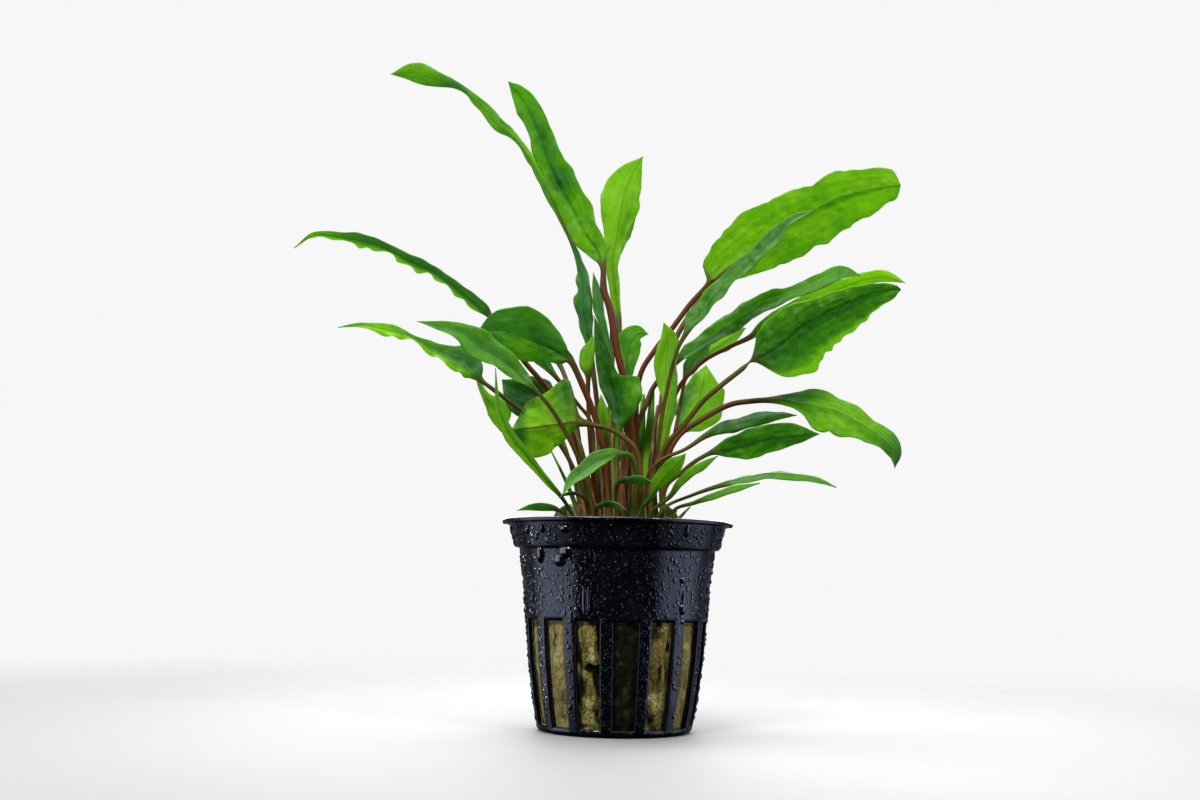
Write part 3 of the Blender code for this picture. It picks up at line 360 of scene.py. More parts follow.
leafTable = [
    dict(name="leaf_left_top", thick=0.6, foot=(-1.5, 7.5), turn=30, shows="under", tone=0.86, blue=0.15,
         red=0.7, brown=0.2, pucker=0.05, cup=0.15, wave=(0.35, 0.35, 7),
         spots=[(0.76, 0, 0.06, 1.5, -0.2, 0.8), (0.2, -1, 0.2, 0.5, -0.2, 0.3),
                (0.58, 0.6, 0.12, 0.4, -0.15, 0.2)],
         stalk=[(-2.8, 11, 66), (-5.2, 13, 87), (-7.3, 15, 101)],
         blade=[(-9.2, 17, 112.8, 0.6, 0.6), (-15.7, 19, 127.4, 1.3, 1.3), (-22.3, 21, 138.2, 0.8, 0.8),
                (-27, 22, 142.2, 1.5, 1.5), (-31.5, 23, 147.3, 1.1, 1.1), (-36.4, 24, 151.3, 0.8, 0.8),
                (-42.5, 25, 153.3, 2, 2), (-47.2, 25, 154.7, 2.2, 2.3), (-52.6, 25, 154.2, 0, 0)]),
    dict(name="leaf_tall", thick=0.85, foot=(4.2, -0.5), turn=18, fold=8, shows="top", tone=0.66,
         blue=0.3, red=1.0, pucker=0.3, cup=-0.12, wave=(0.5, 0.45, 11),
         spots=[(0.47, 0.1, 0.06, 0.6, -0.5, 0.45), (0.68, 0.1, 0.14, 0.6, -0.2, 0.5),
                (0.2, 0, 0.2, 0.9, 0.12, -0.2)],
         stalk=[(4.7, 0, 58.8), (4.2, 0.5, 70.5), (2.8, 0.8, 80.4), (0.7, 1, 89.3), (-0.9, 1.5, 98.7),
                (-2.4, 2, 103.5)],
         blade=[(-2.6, 2.5, 109, 0.8, 0.8), (-4, 3, 112.8, 2.6, 2.6), (-6.8, 3, 117, 3.4, 3.4),
                (-9.6, 3, 122.2, 3.4, 4.4), (-12.7, 2, 127.8, 2.6, 4.2), (-15.3, 1, 134, 3, 3.5),
                (-17.4, 0, 139.8, 2.5, 3.1), (-20, -1, 145.7, 2.6, 2.8), (-22.6, -2, 149.7, 1.7, 2.1),
                (-24.9, -3, 152.5, 0, 0)]),
    dict(name="leaf_back_upright", thick=0.6, foot=(3.6, 6.2), turn=-20, fold=6, shows="under", tone=1.0,
         pucker=0.14, cup=0.12, wave=(0.3, 0.3, 10),
         spots=[(0.55, 0.5, 0.2, 0.25, -0.12, 0.1)],
         stalk=[(3.2, 8, 62), (2.4, 11, 82), (1.4, 13, 92)],
         blade=[(0.9, 15, 96.8, 0.9, 0.9), (0.2, 17, 103.4, 1.2, 1.2), (-0.5, 19, 110, 1.7, 1.7),
                (0.5, 21, 116.3, 2.9, 2.5), (1.2, 22, 122.2, 4.5, 4.3), (2.4, 23, 126.9, 4.6, 4),
                (4.2, 24, 130.9, 3, 2.6), (6.8, 24, 134.9, 0, 0)]),
    dict(name="leaf_back_slim_1", thick=0.55, foot=(-2.4, 4), turn=35, shows="top", tone=0.25, blue=0.8,
         pucker=0.2, cup=0.1, wave=(0.7, 0.3, 7),
         spots=[(0.5, -1, 0.5, 0.3, 0.4, -0.6)],
         stalk=[(-2.6, 5, 62), (-4, 6.5, 77.6), (-5.2, 7.5, 85)],
         blade=[(-5.6, 8, 88.8, 0.7, 0.7), (-6.3, 9, 94, 1.4, 1.3), (-7, 10, 99.9, 2.2, 2.1),
                (-7.3, 11.5, 105.8, 1.4, 1.5), (-8.2, 13, 110.5, 0.9, 0.8), (-9.9, 14, 115.9, 0, 0)]),
    dict(name="leaf_back_slim_2", thick=0.5, foot=(0.7, 3), turn=-25, shows="top", tone=0.35, blue=0.7,
         pucker=0.15, cup=0.2, wave=(0.3, 0.3, 7),
         stalk=[(0.9, 3.8, 62), (0.2, 4.6, 77.6)],
         blade=[(-0.7, 5, 86.5, 0.6, 0.6), (-1.9, 5.5, 92.8, 1, 0.8), (-3.5, 6.5, 98.7, 1.3, 1.2),
                (-4.2, 7.5, 103.4, 1, 1.1), (-4.9, 8, 107.6, 0, 0)]),
    dict(name="leaf_right_top", thick=0.62, foot=(6.8, 3.2), turn=-22, fold=-8, shows="under", tone=0.92,
         red=1.0, brown=0.14, pucker=0.3, cup=0.08, wave=(0.7, 0.7, 13),
         spots=[(0.75, 0, 0.3, 0.15, -0.15, 0), (0.9, 0.5, 0.12, 0.5, 0.08, 0)],
         stalk=[(6.2, 4, 60), (5.2, 4.6, 73), (6.1, 5.2, 83.2), (9.6, 5.8, 89.3), (13.2, 6.3, 93.8),
                (17.9, 6.8, 100.1)],
         blade=[(22.3, 7, 105, 0.8, 0.8), (23.5, 7, 106, 4, 1.4), (29.6, 6.5, 110.9, 7.6, 5.2),
                (35.5, 5.5, 115.2, 8.1, 7), (41.8, 4.5, 119.4, 6.8, 7.7), (48.2, 3, 122.9, 5.9, 7.5),
                (53.3, 1.5, 125.3, 6, 7), (59.7, 0, 126.9, 5.3, 5.5), (63.9, -1, 127.8, 4.5, 4.2),
                (66.2, -1.4, 128, 3.2, 3), (67.4, -1.5, 128.1, 0, 0)]),
    dict(name="leaf_right_dark_upper", thick=0.45, foot=(9.6, -1.5), turn=40, shows="top", tone=0.40,
         blue=0.24, pucker=0.25, cup=-0.3, wave=(0.3, 0.4, 9),
         spots=[(0.75, -0.5, 0.2, 0.6, -0.12, -0.4)],
         stalk=[(9.6, -3, 58), (11, -4.5, 72), (13.4, -5.5, 84), (15, -6, 89.6)],
         blade=[(16.9, -6.2, 93.3, 0.7, 0.7), (18.3, -6.4, 96.4, 1.6, 1.6), (20.9, -6.8, 99.4, 1.9, 1.9),
                (25.4, -7.2, 104.6, 1.9, 1.9), (31.5, -7.8, 110.2, 1.8, 1.7),
                (37.1, -8.2, 115.4, 1.8, 1.7), (41.4, -8.6, 119.9, 1, 1), (47.2, -9, 122.2, 0, 0)]),
    dict(name="leaf_right_dark_long", thick=0.6, foot=(5.9, 0.8), turn=28, shows="top", tone=0.42,
         blue=0.08, red=0.6, pucker=0.2, cup=-0.2, wave=(0.4, 0.4, 12),
         spots=[(0.3, 0.7, 0.25, 0.5, -0.28, 0.1), (0.8, -0.4, 0.2, 0.8, 0.15, 0)],
         stalk=[(5.6, 1.5, 60), (5.4, 2, 70.5), (7.5, 2.6, 76.4), (9.6, 3, 81.1)],
         blade=[(14.8, 3, 86.7, 0.7, 0.7), (17.9, 3, 89.1, 1.7, 1.1), (23, 2.5, 92.4, 2.2, 1.5),
                (28.4, 2, 95.9, 2.7, 1.8), (34.3, 1, 99.9, 2.4, 2), (40.9, 0, 102.5, 1.7, 1.7),
                (48.4, -1, 105.5, 1.7, 1.7), (53.3, -1.5, 107.6, 1.7, 1.7), (58, -2, 106.9, 0, 0)]),
    dict(name="leaf_right_short", thick=0.45, foot=(8.8, 7), turn=-20, shows="under", tone=1.0,
         pucker=0.15, cup=0.1, wave=(0.3, 0.3, 8),
         stalk=[(9.5, 11, 62), (13, 14, 76)],
         blade=[(19.2, 18, 86, 0.6, 0.6), (23, 21, 89.3, 2.8, 1.7), (26.1, 24, 91.4, 3.6, 2.1),
                (28.7, 28, 93.4, 2.2, 1.5), (31, 32, 94.5, 0, 0)]),
    dict(name="leaf_right_grey", thick=0.4, foot=(10.2, 4.4), turn=-15, fold=6, shows="top", tone=0.45,
         blue=0.55, pucker=0.2, cup=-0.3, wave=(0.3, 0.3, 6),
         stalk=[(12.4, 5, 61), (14.4, 6, 70.5), (16, 7, 79)],
         blade=[(16.7, 8, 82.7, 0.6, 0.6), (17.9, 9, 85.1, 1.8, 1.6), (19.5, 10.5, 87.7, 2, 2),
                (21.4, 12, 89.8, 1.3, 1.3), (22.8, 14, 91.2, 0, 0)]),
    dict(name="leaf_right_large", thick=0.6, foot=(7.9, -4.2), turn=-25, fold=12, shows="top", tone=0.4,
         blue=0.12, red=0.25, pucker=0.4, cup=0.16, wave=(0.4, 0.35, 3.8),
         spots=[(0.22, 1.0, 0.34, 0.30, 0.75, -0.2), (0.7, 1.0, 0.3, 0.14, 0.65, -0.2),
                (0.08, 0, 0.1, 1.2, 0.0, 0.5), (0.55, 0.1, 0.45, 0.16, -0.25, 0.1),
                (0.5, -1, 0.4, 0.2, 0.3, 0)],
         stalk=[(8.6, -5.5, 58), (12, -7, 66.5), (16.7, -9, 72.1), (20.7, -11, 77.1), (24.9, -12.5, 80.8),
                (30, -13.6, 84.8)],
         blade=[(32.7, -14, 87, 0.7, 0.7), (36.2, -14.4, 89.3, 4.8, 8), (39.7, -14.8, 92.1, 5.8, 10.9),
                (43.9, -15.4, 95.6, 5.4, 9.5), (50.1, -16, 98.9, 3.4, 8.0), (55, -16.6, 100.8, 2.8, 6.6),
                (59.2, -17.2, 102.5, 2.1, 5), (63.5, -18, 103.4, 1.7, 3.2), (66.2, -18.4, 103.7, 1, 1.8),
                (67.5, -18.5, 103.5, 0, 0)]),
    dict(name="leaf_right_light", thick=0.5, foot=(11, 1), turn=-20, shows="under", tone=1.15, red=1.0,
         brown=0.1, pucker=0.25, cup=0.15, wave=(0.6, 0.6, 10),
         spots=[(0.1, 0, 0.12, 1.2, -0.3, 0.5)],
         stalk=[(11.6, 2.5, 60), (13, 4, 73), (15.3, 5, 80.6), (20.7, 5.6, 86.5), (27, 6, 90)],
         blade=[(32, 6.4, 92.4, 0.7, 0.7), (35.5, 6.8, 95.2, 1.5, 1.5), (42.5, 7.2, 99.2, 1.9, 1.9),
                (50.8, 7.6, 102.9, 1.9, 1.9), (58.3, 8, 105.8, 1.6, 1.5), (63.7, 8, 106.5, 1.5, 1.3),
                (68.6, 8, 105.1, 0, 0)]),
    dict(name="leaf_centre_right", thick=0.6, foot=(8.2, -1), turn=15, fold=8, shows="under", tone=0.95,
         blue=0.05, red=-0.9, pucker=0.15, cup=-0.15, wave=(0.25, 0.3, 12),
         spots=[(0.95, 0, 0.08, 1.5, 0.0, -0.1), (0.6, 0.6, 0.3, 0.4, -0.2, 0.1)],
         stalk=[(8.6, -1.2, 56)],
         blade=[(8.9, -1.2, 62.6, 0.9, 0.9), (10.4, -1.1, 66.9, 1.9, 1.9), (12, -0.9, 72.4, 1.9, 1.9),
                (13, -0.7, 76.6, 1.7, 1.7), (12.6, -0.5, 80.4, 2.1, 2.2), (12.1, 0, 86, 2.6, 2.5),
                (12.8, 0.4, 91.6, 2.1, 2.2), (11.7, 0.8, 95.9, 0, 0)]),
    dict(name="leaf_right_broad_back", thick=0.5, foot=(7.2, 9.2), turn=-15, shows="under", tone=1.0,
         blue=0.05, brown=0.1, pucker=0.2, cup=0.1, wave=(0.4, 0.6, 9),
         spots=[(0.3, -0.8, 0.5, 0.4, -0.45, 0.8)],
         stalk=[(10, 13, 60)],
         blade=[(15, 16, 69.4, 0.7, 0.7), (17.2, 18, 73.2, 2.8, 5.2), (19.6, 21, 77.4, 4.4, 6.8),
                (20.8, 24, 82, 3, 4.2), (21.6, 27, 85.8, 0, 0)]),
    dict(name="leaf_right_arching", thick=0.65, foot=(10.6, -3.4), turn=20, fold=-10, shows="under",
         tone=0.84, red=0.75, brown=0.1, pucker=0.35, cup=0.1, wave=(0.5, 0.6, 10),
         spots=[(0.12, -0.8, 0.16, 0.9, -0.75, 0.2), (0.95, 0, 0.17, 1.5, -0.6, 0.4),
                (0.5, 0.1, 0.3, 0.12, -0.15, 0)],
         stalk=[(11.4, -3.8, 60), (14.8, -4, 68.6), (20.7, -4.2, 73.1), (27, -4.4, 76.4), (32, -4.8, 77.3)],
         blade=[(36.7, -5, 77.6, 0.8, 0.8), (42.3, -5.5, 76.8, 2.8, 1.2), (47.5, -6, 75.9, 3.9, 4.4),
                (52.6, -7, 74.7, 3.1, 5.2), (57.8, -8, 71.9, 2.9, 3.8), (62.5, -9, 68.6, 2.7, 2),
                (65.6, -10, 65.3, 2.2, 1.2), (66, -11, 61.6, 0, 0)]),
    dict(name="leaf_right_low", thick=0.5, foot=(9.9, -6), turn=-20, fold=6, shows="top", tone=0.36,
         blue=0.1, red=0.15, pucker=0.35, cup=0.15, wave=(0.4, 0.5, 9),
         spots=[(0.5, 0, 0.5, 0.12, -0.2, 0.3), (0.6, 0.9, 0.4, 0.25, 0.2, 0)],
         stalk=[(12, -7.6, 56.5), (15.5, -9.4, 60.2), (18.8, -11, 63)],
         blade=[(23, -12.4, 65.3, 0.7, 0.7), (26.8, -13.4, 66, 2.6, 2), (32, -14.6, 67.4, 3.3, 3.5),
                (37.8, -16, 68.9, 3.6, 3.3), (43, -17.4, 69.3, 2.4, 2.2), (48.4, -19, 69.6, 0, 0)]),
    dict(name="leaf_right_low_dark", thick=0.45, foot=(7.8, -6.6), turn=30, shows="top", tone=0.12,
         blue=0.05, pucker=0.2, cup=0.2, wave=(0.3, 0.3, 8),
         stalk=[(7.6, -8.4, 57.5), (10.3, -9.4, 63), (16.7, -9.4, 66)],
         blade=[(21.4, -9, 69.1, 0.7, 0.7), (25.4, -9, 71, 1.3, 1.3), (29.6, -9.2, 72.1, 1.7, 1.7),
                (34.8, -9.6, 73.3, 1.5, 1.4), (39.5, -10, 74, 0.9, 0.9), (43, -10.5, 74, 0, 0)]),
    dict(name="leaf_right_low_slim_1", thick=0.4, foot=(8.2, -8.4), turn=64, shows="top", tone=0.5,
         blue=0.3, red=-0.5, brown=0.1, pucker=0.1, cup=0.2, wave=(0.2, 0.2, 9),
         stalk=[(11.5, -11, 52), (18.3, -14, 55.2)],
         blade=[(25.4, -16, 57.6, 0.6, 0.6), (32, -18, 59.2, 0.8, 0.8), (37.1, -19, 59.9, 0.9, 0.9),
                (42.5, -20, 59.7, 0.9, 0.8), (47.9, -21, 58.8, 0.7, 0.7), (52.2, -22, 57.1, 0, 0)]),
    dict(name="leaf_right_low_slim_2", thick=0.4, foot=(11.4, -5.6), turn=45, shows="under", tone=0.75,
         blue=0.1, red=-0.6, brown=0.1, pucker=0.1, cup=0.2, wave=(0.2, 0.2, 8),
         stalk=[(14, -7, 51.6)],
         blade=[(18.8, -9, 53.4, 0.5, 0.5), (24, -10, 55.2, 0.8, 0.8), (29, -11, 56.8, 0.8, 0.7),
                (34.3, -12, 58, 0, 0)]),
    dict(name="leaf_crown_right_slim", thick=0.4, foot=(5.8, -9.6), turn=30, shows="under", tone=0.75,
         blue=0.1, red=-0.7, brown=0.2, pucker=0.12, cup=0.2, wave=(0.2, 0.3, 7),
         stalk=[(9, -12.4, 51.4)],
         blade=[(13.2, -15.5, 55, 0.6, 0.6), (15.5, -17, 58.3, 1, 1), (18.6, -18.6, 60.9, 1.1, 1.1),
                (21.6, -20, 62.7, 0.9, 0.8), (24.4, -21, 64.4, 0, 0)]),
    dict(name="leaf_crown_right", thick=0.6, foot=(3.4, -10), turn=-20, fold=6, shows="under", tone=0.85,
         blue=0.05, red=-0.9, brown=0.2, pucker=0.2, cup=0.15, wave=(0.3, 0.3, 8),
         stalk=[(6, -10.6, 51.6)],
         blade=[(8.7, -12.6, 54.8, 0.7, 0.7), (10.1, -13.8, 57.6, 1.6, 1.2), (12.5, -15.2, 60.4, 2.2, 2),
                (14.8, -16.6, 62.7, 1.7, 1.7), (16.9, -18, 65.1, 0, 0)]),
    dict(name="leaf_centre_folded", thick=0.7, foot=(0.6, -3.6), turn=12, fold=8, shows="top", tone=0.10,
         blue=0.1, red=-0.9, pucker=0.2, cup=-0.1, wave=(0.3, 0.5, 11),
         spots=[(0.3, 0.75, 0.2, 0.5, 0.5, -0.1), (0.8, -0.6, 0.2, 0.5, 0.2, 0.2)],
         stalk=[(0.6, -4, 56), (0.5, -4.4, 64)],
         blade=[(1, -4.8, 70.8, 1, 1), (0.9, -5, 73.2, 1.6, 3.4), (0.4, -5, 76.2, 1.9, 6),
                (-0.3, -4.9, 79.2, 2.3, 7.2), (-0.9, -4.8, 81.2, 2.5, 6.8), (-1.4, -4.8, 83, 2.4, 2.6),
                (-2.3, -4.6, 87, 2.1, 2), (-3.3, -4.4, 91.4, 1.4, 1.4), (-4.7, -4.2, 97.6, 0, 0)]),
    dict(name="leaf_centre_pointed", thick=0.5, foot=(5.4, 4.6), turn=-10, shows="top", tone=0.6,
         blue=0.3, brown=0.1, pucker=0.15, cup=0.1, wave=(0.2, 0.2, 9),
         stalk=[(5, 5.6, 60), (3.8, 6.4, 72)],
         blade=[(2.8, 7, 80.4, 0.6, 0.6), (3, 7.4, 83.8, 1.4, 1.4), (3.2, 8, 87.4, 2.6, 2.3),
                (3.7, 8.6, 90.6, 3.4, 2.9), (5.4, 9.2, 93, 2.6, 1.7), (8.1, 9.6, 93.1, 0, 0)]),
    dict(name="leaf_centre_back", thick=0.5, foot=(-1.8, 1.2), fold=8, shows="under", tone=0.85,
         brown=0.2, pucker=0.1, cup=0.1, wave=(0.2, 0.2, 7),
         stalk=[(-1.8, 1.4, 58)],
         blade=[(-1.9, 1.6, 68.2, 0.7, 0.7), (-2.1, 1.8, 72, 1.3, 1.3), (-2.6, 2, 75.5, 1.3, 1.1),
                (-3.1, 2.2, 79, 0, 0)]),
    dict(name="leaf_centre_small", thick=0.5, foot=(-4.6, -0.4), turn=20, fold=8, shows="under",
         tone=0.88, red=0.8, brown=0.1, pucker=0.1, cup=0.1, wave=(0.2, 0.2, 6),
         stalk=[(-5, -0.8, 60), (-5.9, -1.2, 72), (-6.1, -1.4, 80)],
         blade=[(-6.1, -1.5, 83.2, 0.7, 0.7), (-6.3, -1.6, 85.5, 1.7, 1.3), (-6.1, -1.6, 88.4, 1.9, 1.5),
                (-5.4, -1.6, 90.5, 1.2, 1), (-4.9, -1.6, 92.8, 0, 0)]),
    dict(name="leaf_left_broad", thick=0.75, foot=(-1.8, -2), turn=18, fold=10, shows="top", tone=0.42,
         blue=0.3, red=0.9, pucker=0.4, cup=0.14, wave=(0.4, 0.5, 11),
         spots=[(0.85, 0.3, 0.25, 0.9, 0.08, 0.6), (0.12, 0.1, 0.2, 0.8, 0.0, 0.4),
                (0.5, -0.55, 0.3, 0.5, 0.2, -0.3), (0.42, 0.25, 0.16, 0.3, -0.22, 0.0)],
         stalk=[(-1.6, -3.4, 58.8), (-2.6, -5, 66.5), (-4.6, -6, 74), (-7.4, -7, 81)],
         blade=[(-10.1, -7.6, 86.7, 0.9, 0.9), (-12.2, -8, 88.1, 2.4, 2.4), (-15, -8.4, 90, 3.8, 3.9),
                (-19.7, -9, 92.1, 5.8, 6.5), (-24.4, -9.6, 93.8, 5, 6), (-28.2, -10.2, 94.2, 3, 4),
                (-32.2, -11, 93.5, 0, 0)]),
    dict(name="leaf_left_pale", thick=0.5, foot=(-4.8, -5), turn=-15, shows="top", tone=0.6, blue=0.4,
         red=0.45, pucker=0.2, cup=-0.2, wave=(0.5, 0.5, 10),
         spots=[(0.4, 0.2, 0.45, 0.25, 0.0, 0.6)],
         stalk=[(-6.2, -9.5, 57.5), (-9, -13.5, 65.2), (-12.4, -17, 71.8), (-15.4, -19.2, 76.4)],
         blade=[(-19, -20.6, 80.4, 0.6, 0.6), (-22.3, -21, 83.9, 2, 1.9), (-26.3, -21.4, 87.4, 2.6, 2.5),
                (-31.5, -21.8, 90.6, 3.3, 3.2), (-35.5, -22.1, 93.5, 2.4, 2.3),
                (-39.7, -22.4, 94.9, 1.4, 1.3), (-46.3, -23, 96.1, 0, 0)]),
    dict(name="leaf_left_long_upper", thick=0.6, foot=(-5.4, 2.6), turn=50, shows="top", tone=0.42,
         blue=0.85, red=1.0, pucker=0.08, cup=0.1, wave=(0.62, 0.1, 5.6),
         spots=[(0.5, -1.0, 0.9, 0.55, 0.7, -0.9), (0.93, 0, 0.18, 1.5, 0.4, -0.6)],
         stalk=[(-7.4, 2, 60), (-11, 1, 72), (-15.3, 0, 79.7), (-21.4, -1, 87), (-25.6, -1.4, 93)],
         blade=[(-29.1, -1.4, 97.3, 0.7, 0.7), (-32, -1, 100.1, 1.5, 1.5), (-40.9, 0, 106.9, 1.2, 1.2),
                (-46.8, 1, 110, 1.6, 1.5), (-52.6, 2, 113, 1.1, 1.1), (-58.5, 3, 114.9, 1.6, 1.5),
                (-64.4, 4, 116.1, 1, 0.9), (-70.6, 5, 116.4, 0.6, 0.6), (-75.2, 6, 113.3, 0, 0)]),
    dict(name="leaf_left_long_lower", thick=0.55, foot=(-7, -2.2), turn=-20, fold=6, shows="top",
         tone=0.55, blue=0.45, red=0.35, pucker=0.25, cup=0.1, wave=(0.8, 0.15, 6.4),
         spots=[(0.15, 0.2, 0.18, 1.0, -0.2, 0.6), (0.4, -1.0, 0.6, 0.5, 0.45, -0.8),
                (0.72, -0.3, 0.14, 1.2, 0.4, -0.8)],
         stalk=[(-9, -3, 60), (-14.4, -4.4, 69.4), (-21.2, -5.4, 74.7), (-27.5, -6.4, 79.4)],
         blade=[(-31.3, -7, 82.3, 0.7, 0.7), (-32.9, -7.4, 84.6, 2.6, 2.6), (-35.3, -8, 87, 3.3, 3.4),
                (-38.5, -8.6, 88.0, 2.2, 2.1), (-43.2, -9.4, 90.1, 1.4, 1.4),
                (-47.3, -10.3, 92.3, 0.65, 0.65), (-50.4, -11.0, 93.3, 1.3, 1.3),
                (-53.0, -11.7, 93.9, 1.6, 1.6), (-56.4, -12.6, 94.7, 0.95, 0.95),
                (-60.4, -13.5, 95.2, 0.5, 0.5), (-64.9, -14.4, 94.7, 0, 0)]),
    dict(name="leaf_left_shaded", thick=0.55, foot=(-4.4, -2.6), turn=-8, shows="top", tone=0.06,
         blue=0.2, pucker=0.2, cup=0.1, wave=(0.4, 0.3, 8),
         stalk=[(-6.2, -2.8, 60), (-8.7, 1.2, 69)],
         blade=[(-13, 2.6, 76.4, 0.8, 0.8), (-16.2, 2.9, 78.2, 4.8, 4.2), (-19.6, 3.1, 79.2, 6.6, 4.2),
                (-22.6, 3.3, 80.2, 5.2, 3), (-26.4, 3.5, 82.4, 0, 0)]),
    dict(name="leaf_front_heart", thick=0.6, foot=(4.8, -7), turn=4, fold=-10, shows="under", tone=1.0,
         red=0.3, brown=1.0, pucker=0.3, cup=0.12, wave=(0.9, 0.9, 4.6),
         spots=[(0.14, 0.75, 0.2, 0.7, -0.6, 0.1), (0.8, 1.0, 0.16, 0.22, -0.5, 0.5),
                (0.9, -0.3, 0.1, 0.9, -0.7, 0.5)],
         stalk=[(6.2, -11.4, 58), (5.2, -12.6, 65.8), (0, -12.8, 70.3), (-4.6, -12.6, 71.7)],
         blade=[(-8.4, -12.8, 72, 0.8, 2.4), (-9.9, -13, 72, 2, 9.6), (-12.2, -13.4, 71.8, 4, 9.2),
                (-15.3, -14.2, 71.5, 6, 7.6), (-18.3, -15.2, 71.1, 7.2, 6.7),
                (-21.2, -16.2, 70.9, 5.4, 4.6), (-24, -17.2, 70.7, 0, 0)]),
    dict(name="leaf_left_hanging", thick=0.4, foot=(-7.6, 1.4), turn=10, fold=6, shows="under", tone=0.95,
         red=-0.5, pucker=0.1, cup=0.1, wave=(0.2, 0.2, 7),
         spots=[(0.0, 0, 0.35, 1.5, -0.3, 0.6)],
         stalk=[(-12, 5.4, 68), (-22, 7.6, 84), (-28, 7.4, 88)],
         blade=[(-32.3, 6.4, 86.4, 0.5, 0.5), (-31.8, 5.4, 82, 0.6, 0.6), (-30.2, 4.6, 78.2, 1.3, 0.9),
                (-27.8, 3.8, 75.4, 3.3, 2.1), (-26.9, 3.2, 72.8, 2.5, 1.8), (-26.6, 2.8, 70.1, 0, 0)]),
    dict(name="leaf_front_left_slim", thick=0.45, foot=(-8.8, -4.6), turn=25, fold=6, shows="top",
         tone=0.8, blue=0.2, red=-0.9, pucker=0.12, cup=-0.2, wave=(0.3, 0.3, 12),
         spots=[(1.0, 0, 0.45, 1.5, 0.1, 0.5), (0.4, -0.6, 0.4, 0.4, 0.2, -0.3)],
         stalk=[(-10.6, -9, 52)],
         blade=[(-12.7, -13, 55.2, 0.5, 0.5), (-15.4, -17, 58.1, 0.8, 0.8),
                (-19.9, -21.5, 63.6, 1.1, 1.1), (-23.9, -25.5, 68.4, 1.5, 1.5), (-26.3, -29, 73.2, 1, 1),
                (-27.5, -31.5, 78, 0.5, 0.6), (-27.9, -34, 85.1, 0, 0)]),
    dict(name="leaf_front_lance", thick=0.5, foot=(2.2, -10), turn=-25, fold=6, shows="top", tone=0.36,
         blue=0.15, red=-0.8, pucker=0.1, cup=-0.2, wave=(0.2, 0.2, 9),
         spots=[(0.5, -0.9, 0.6, 0.3, 0.25, -0.2)],
         stalk=[(5.2, -14, 57), (4.6, -17.4, 63), (3.4, -19, 64.8)],
         blade=[(1.6, -20.4, 65, 0.7, 0.7), (-0.5, -21.6, 64.9, 1.1, 1.5), (-3.8, -24, 63.5, 1.9, 2.1),
                (-7.3, -27, 61.1, 1.9, 1.9), (-9.9, -29.6, 58.8, 1.2, 1.4), (-12.2, -32, 55.2, 0, 0)]),
    dict(name="leaf_front_short_1", thick=0.45, foot=(0.2, -7.6), turn=-45, shows="top", tone=0.16,
         blue=0.3, red=-0.2, pucker=0.15, cup=0.2, wave=(0.3, 0.3, 6),
         stalk=[(0.4, -11, 55)],
         blade=[(1.2, -14, 58.3, 0.6, 0.6), (4, -18, 58.8, 1, 1), (6.6, -22, 58.6, 1, 1),
                (9.2, -26, 58.3, 0, 0)]),
    dict(name="leaf_front_short_2", thick=0.4, foot=(-4.2, -9.4), turn=-30, shows="top", tone=0.08,
         blue=0.15, pucker=0.1, cup=0.2, wave=(0.2, 0.2, 6),
         stalk=[(-4.4, -11.6, 51)],
         blade=[(-3.8, -13.6, 52.6, 0.5, 0.5), (-1.4, -17, 53.1, 0.7, 0.7), (0.8, -20.6, 52.8, 0.6, 0.6),
                (2.8, -24, 51.8, 0, 0)]),
    dict(name="leaf_front_thin", thick=0.35, foot=(-6.6, -7.2), turn=30, shows="top", tone=0.1, blue=0.1,
         pucker=0.05, cup=0.2, wave=(0.1, 0.1, 6),
         stalk=[(-6.2, -10, 52.4), (-7, -12.6, 54.4)],
         blade=[(-8.4, -15, 55.4, 0.4, 0.4), (-9.8, -17, 55.7, 0.5, 0.5), (-11.4, -19, 55.4, 0.4, 0.4),
                (-13, -21, 54.6, 0, 0)]),
    dict(name="leaf_rim_left", thick=0.4, foot=(-9.8, -1.6), turn=-20, shows="top", tone=0.3, blue=0.1,
         red=-0.4, pucker=0.1, cup=0.2, wave=(0.2, 0.2, 7),
         stalk=[(-11.6, -4.2, 50.4)],
         blade=[(-13.2, -6, 51.8, 0.5, 0.5), (-15.4, -8, 52.4, 0.9, 0.9), (-18.2, -10.4, 52.5, 0.9, 0.9),
                (-20.6, -12.4, 52.2, 0.6, 0.6), (-22.8, -14, 51.6, 0, 0)]),
    dict(name="leaf_left_hidden", thick=0.45, foot=(-3.6, 6.8), turn=20, shows="top", tone=0.25, blue=0.3,
         pucker=0.2, cup=0.1, wave=(0.3, 0.3, 9),
         stalk=[(-4.4, 6.6, 60), (-5.2, 6, 71.5), (-8.8, 5, 77)],
         blade=[(-13.8, 4.4, 83.2, 0.6, 0.6), (-17.2, 5, 87.4, 1.8, 1.8), (-20.4, 6.4, 91.4, 2.4, 2.4),
                (-23.4, 8, 94.8, 2, 2), (-26.4, 10, 97, 0, 0)]),
    dict(name="leaf_back_1", thick=0.6, foot=(1, 9.8), fold=-8, shows="top", tone=0.45,
         wave=(0.5, 0.5, 10), **guessedLook,
         stalk=[(1.4, 15, 62), (1.6, 24, 72)],
         blade=[(1.4, 32, 75.5, 0.8, 0.8), (1, 38, 75, 3, 3), (0.4, 44, 71, 4, 4), (-0.4, 50, 64, 3, 3),
                (-1, 54, 56, 0, 0)]),
    dict(name="leaf_back_2", thick=0.55, foot=(-5.8, 8.4), turn=10, fold=-6, shows="top", tone=0.55,
         wave=(0.5, 0.5, 12), **guessedLook,
         stalk=[(-7.6, 14, 61), (-9.6, 22, 70)],
         blade=[(-12, 29, 74, 0.8, 0.8), (-13.6, 35, 75, 2.6, 2.6), (-15.4, 42, 73.6, 3.2, 3.2),
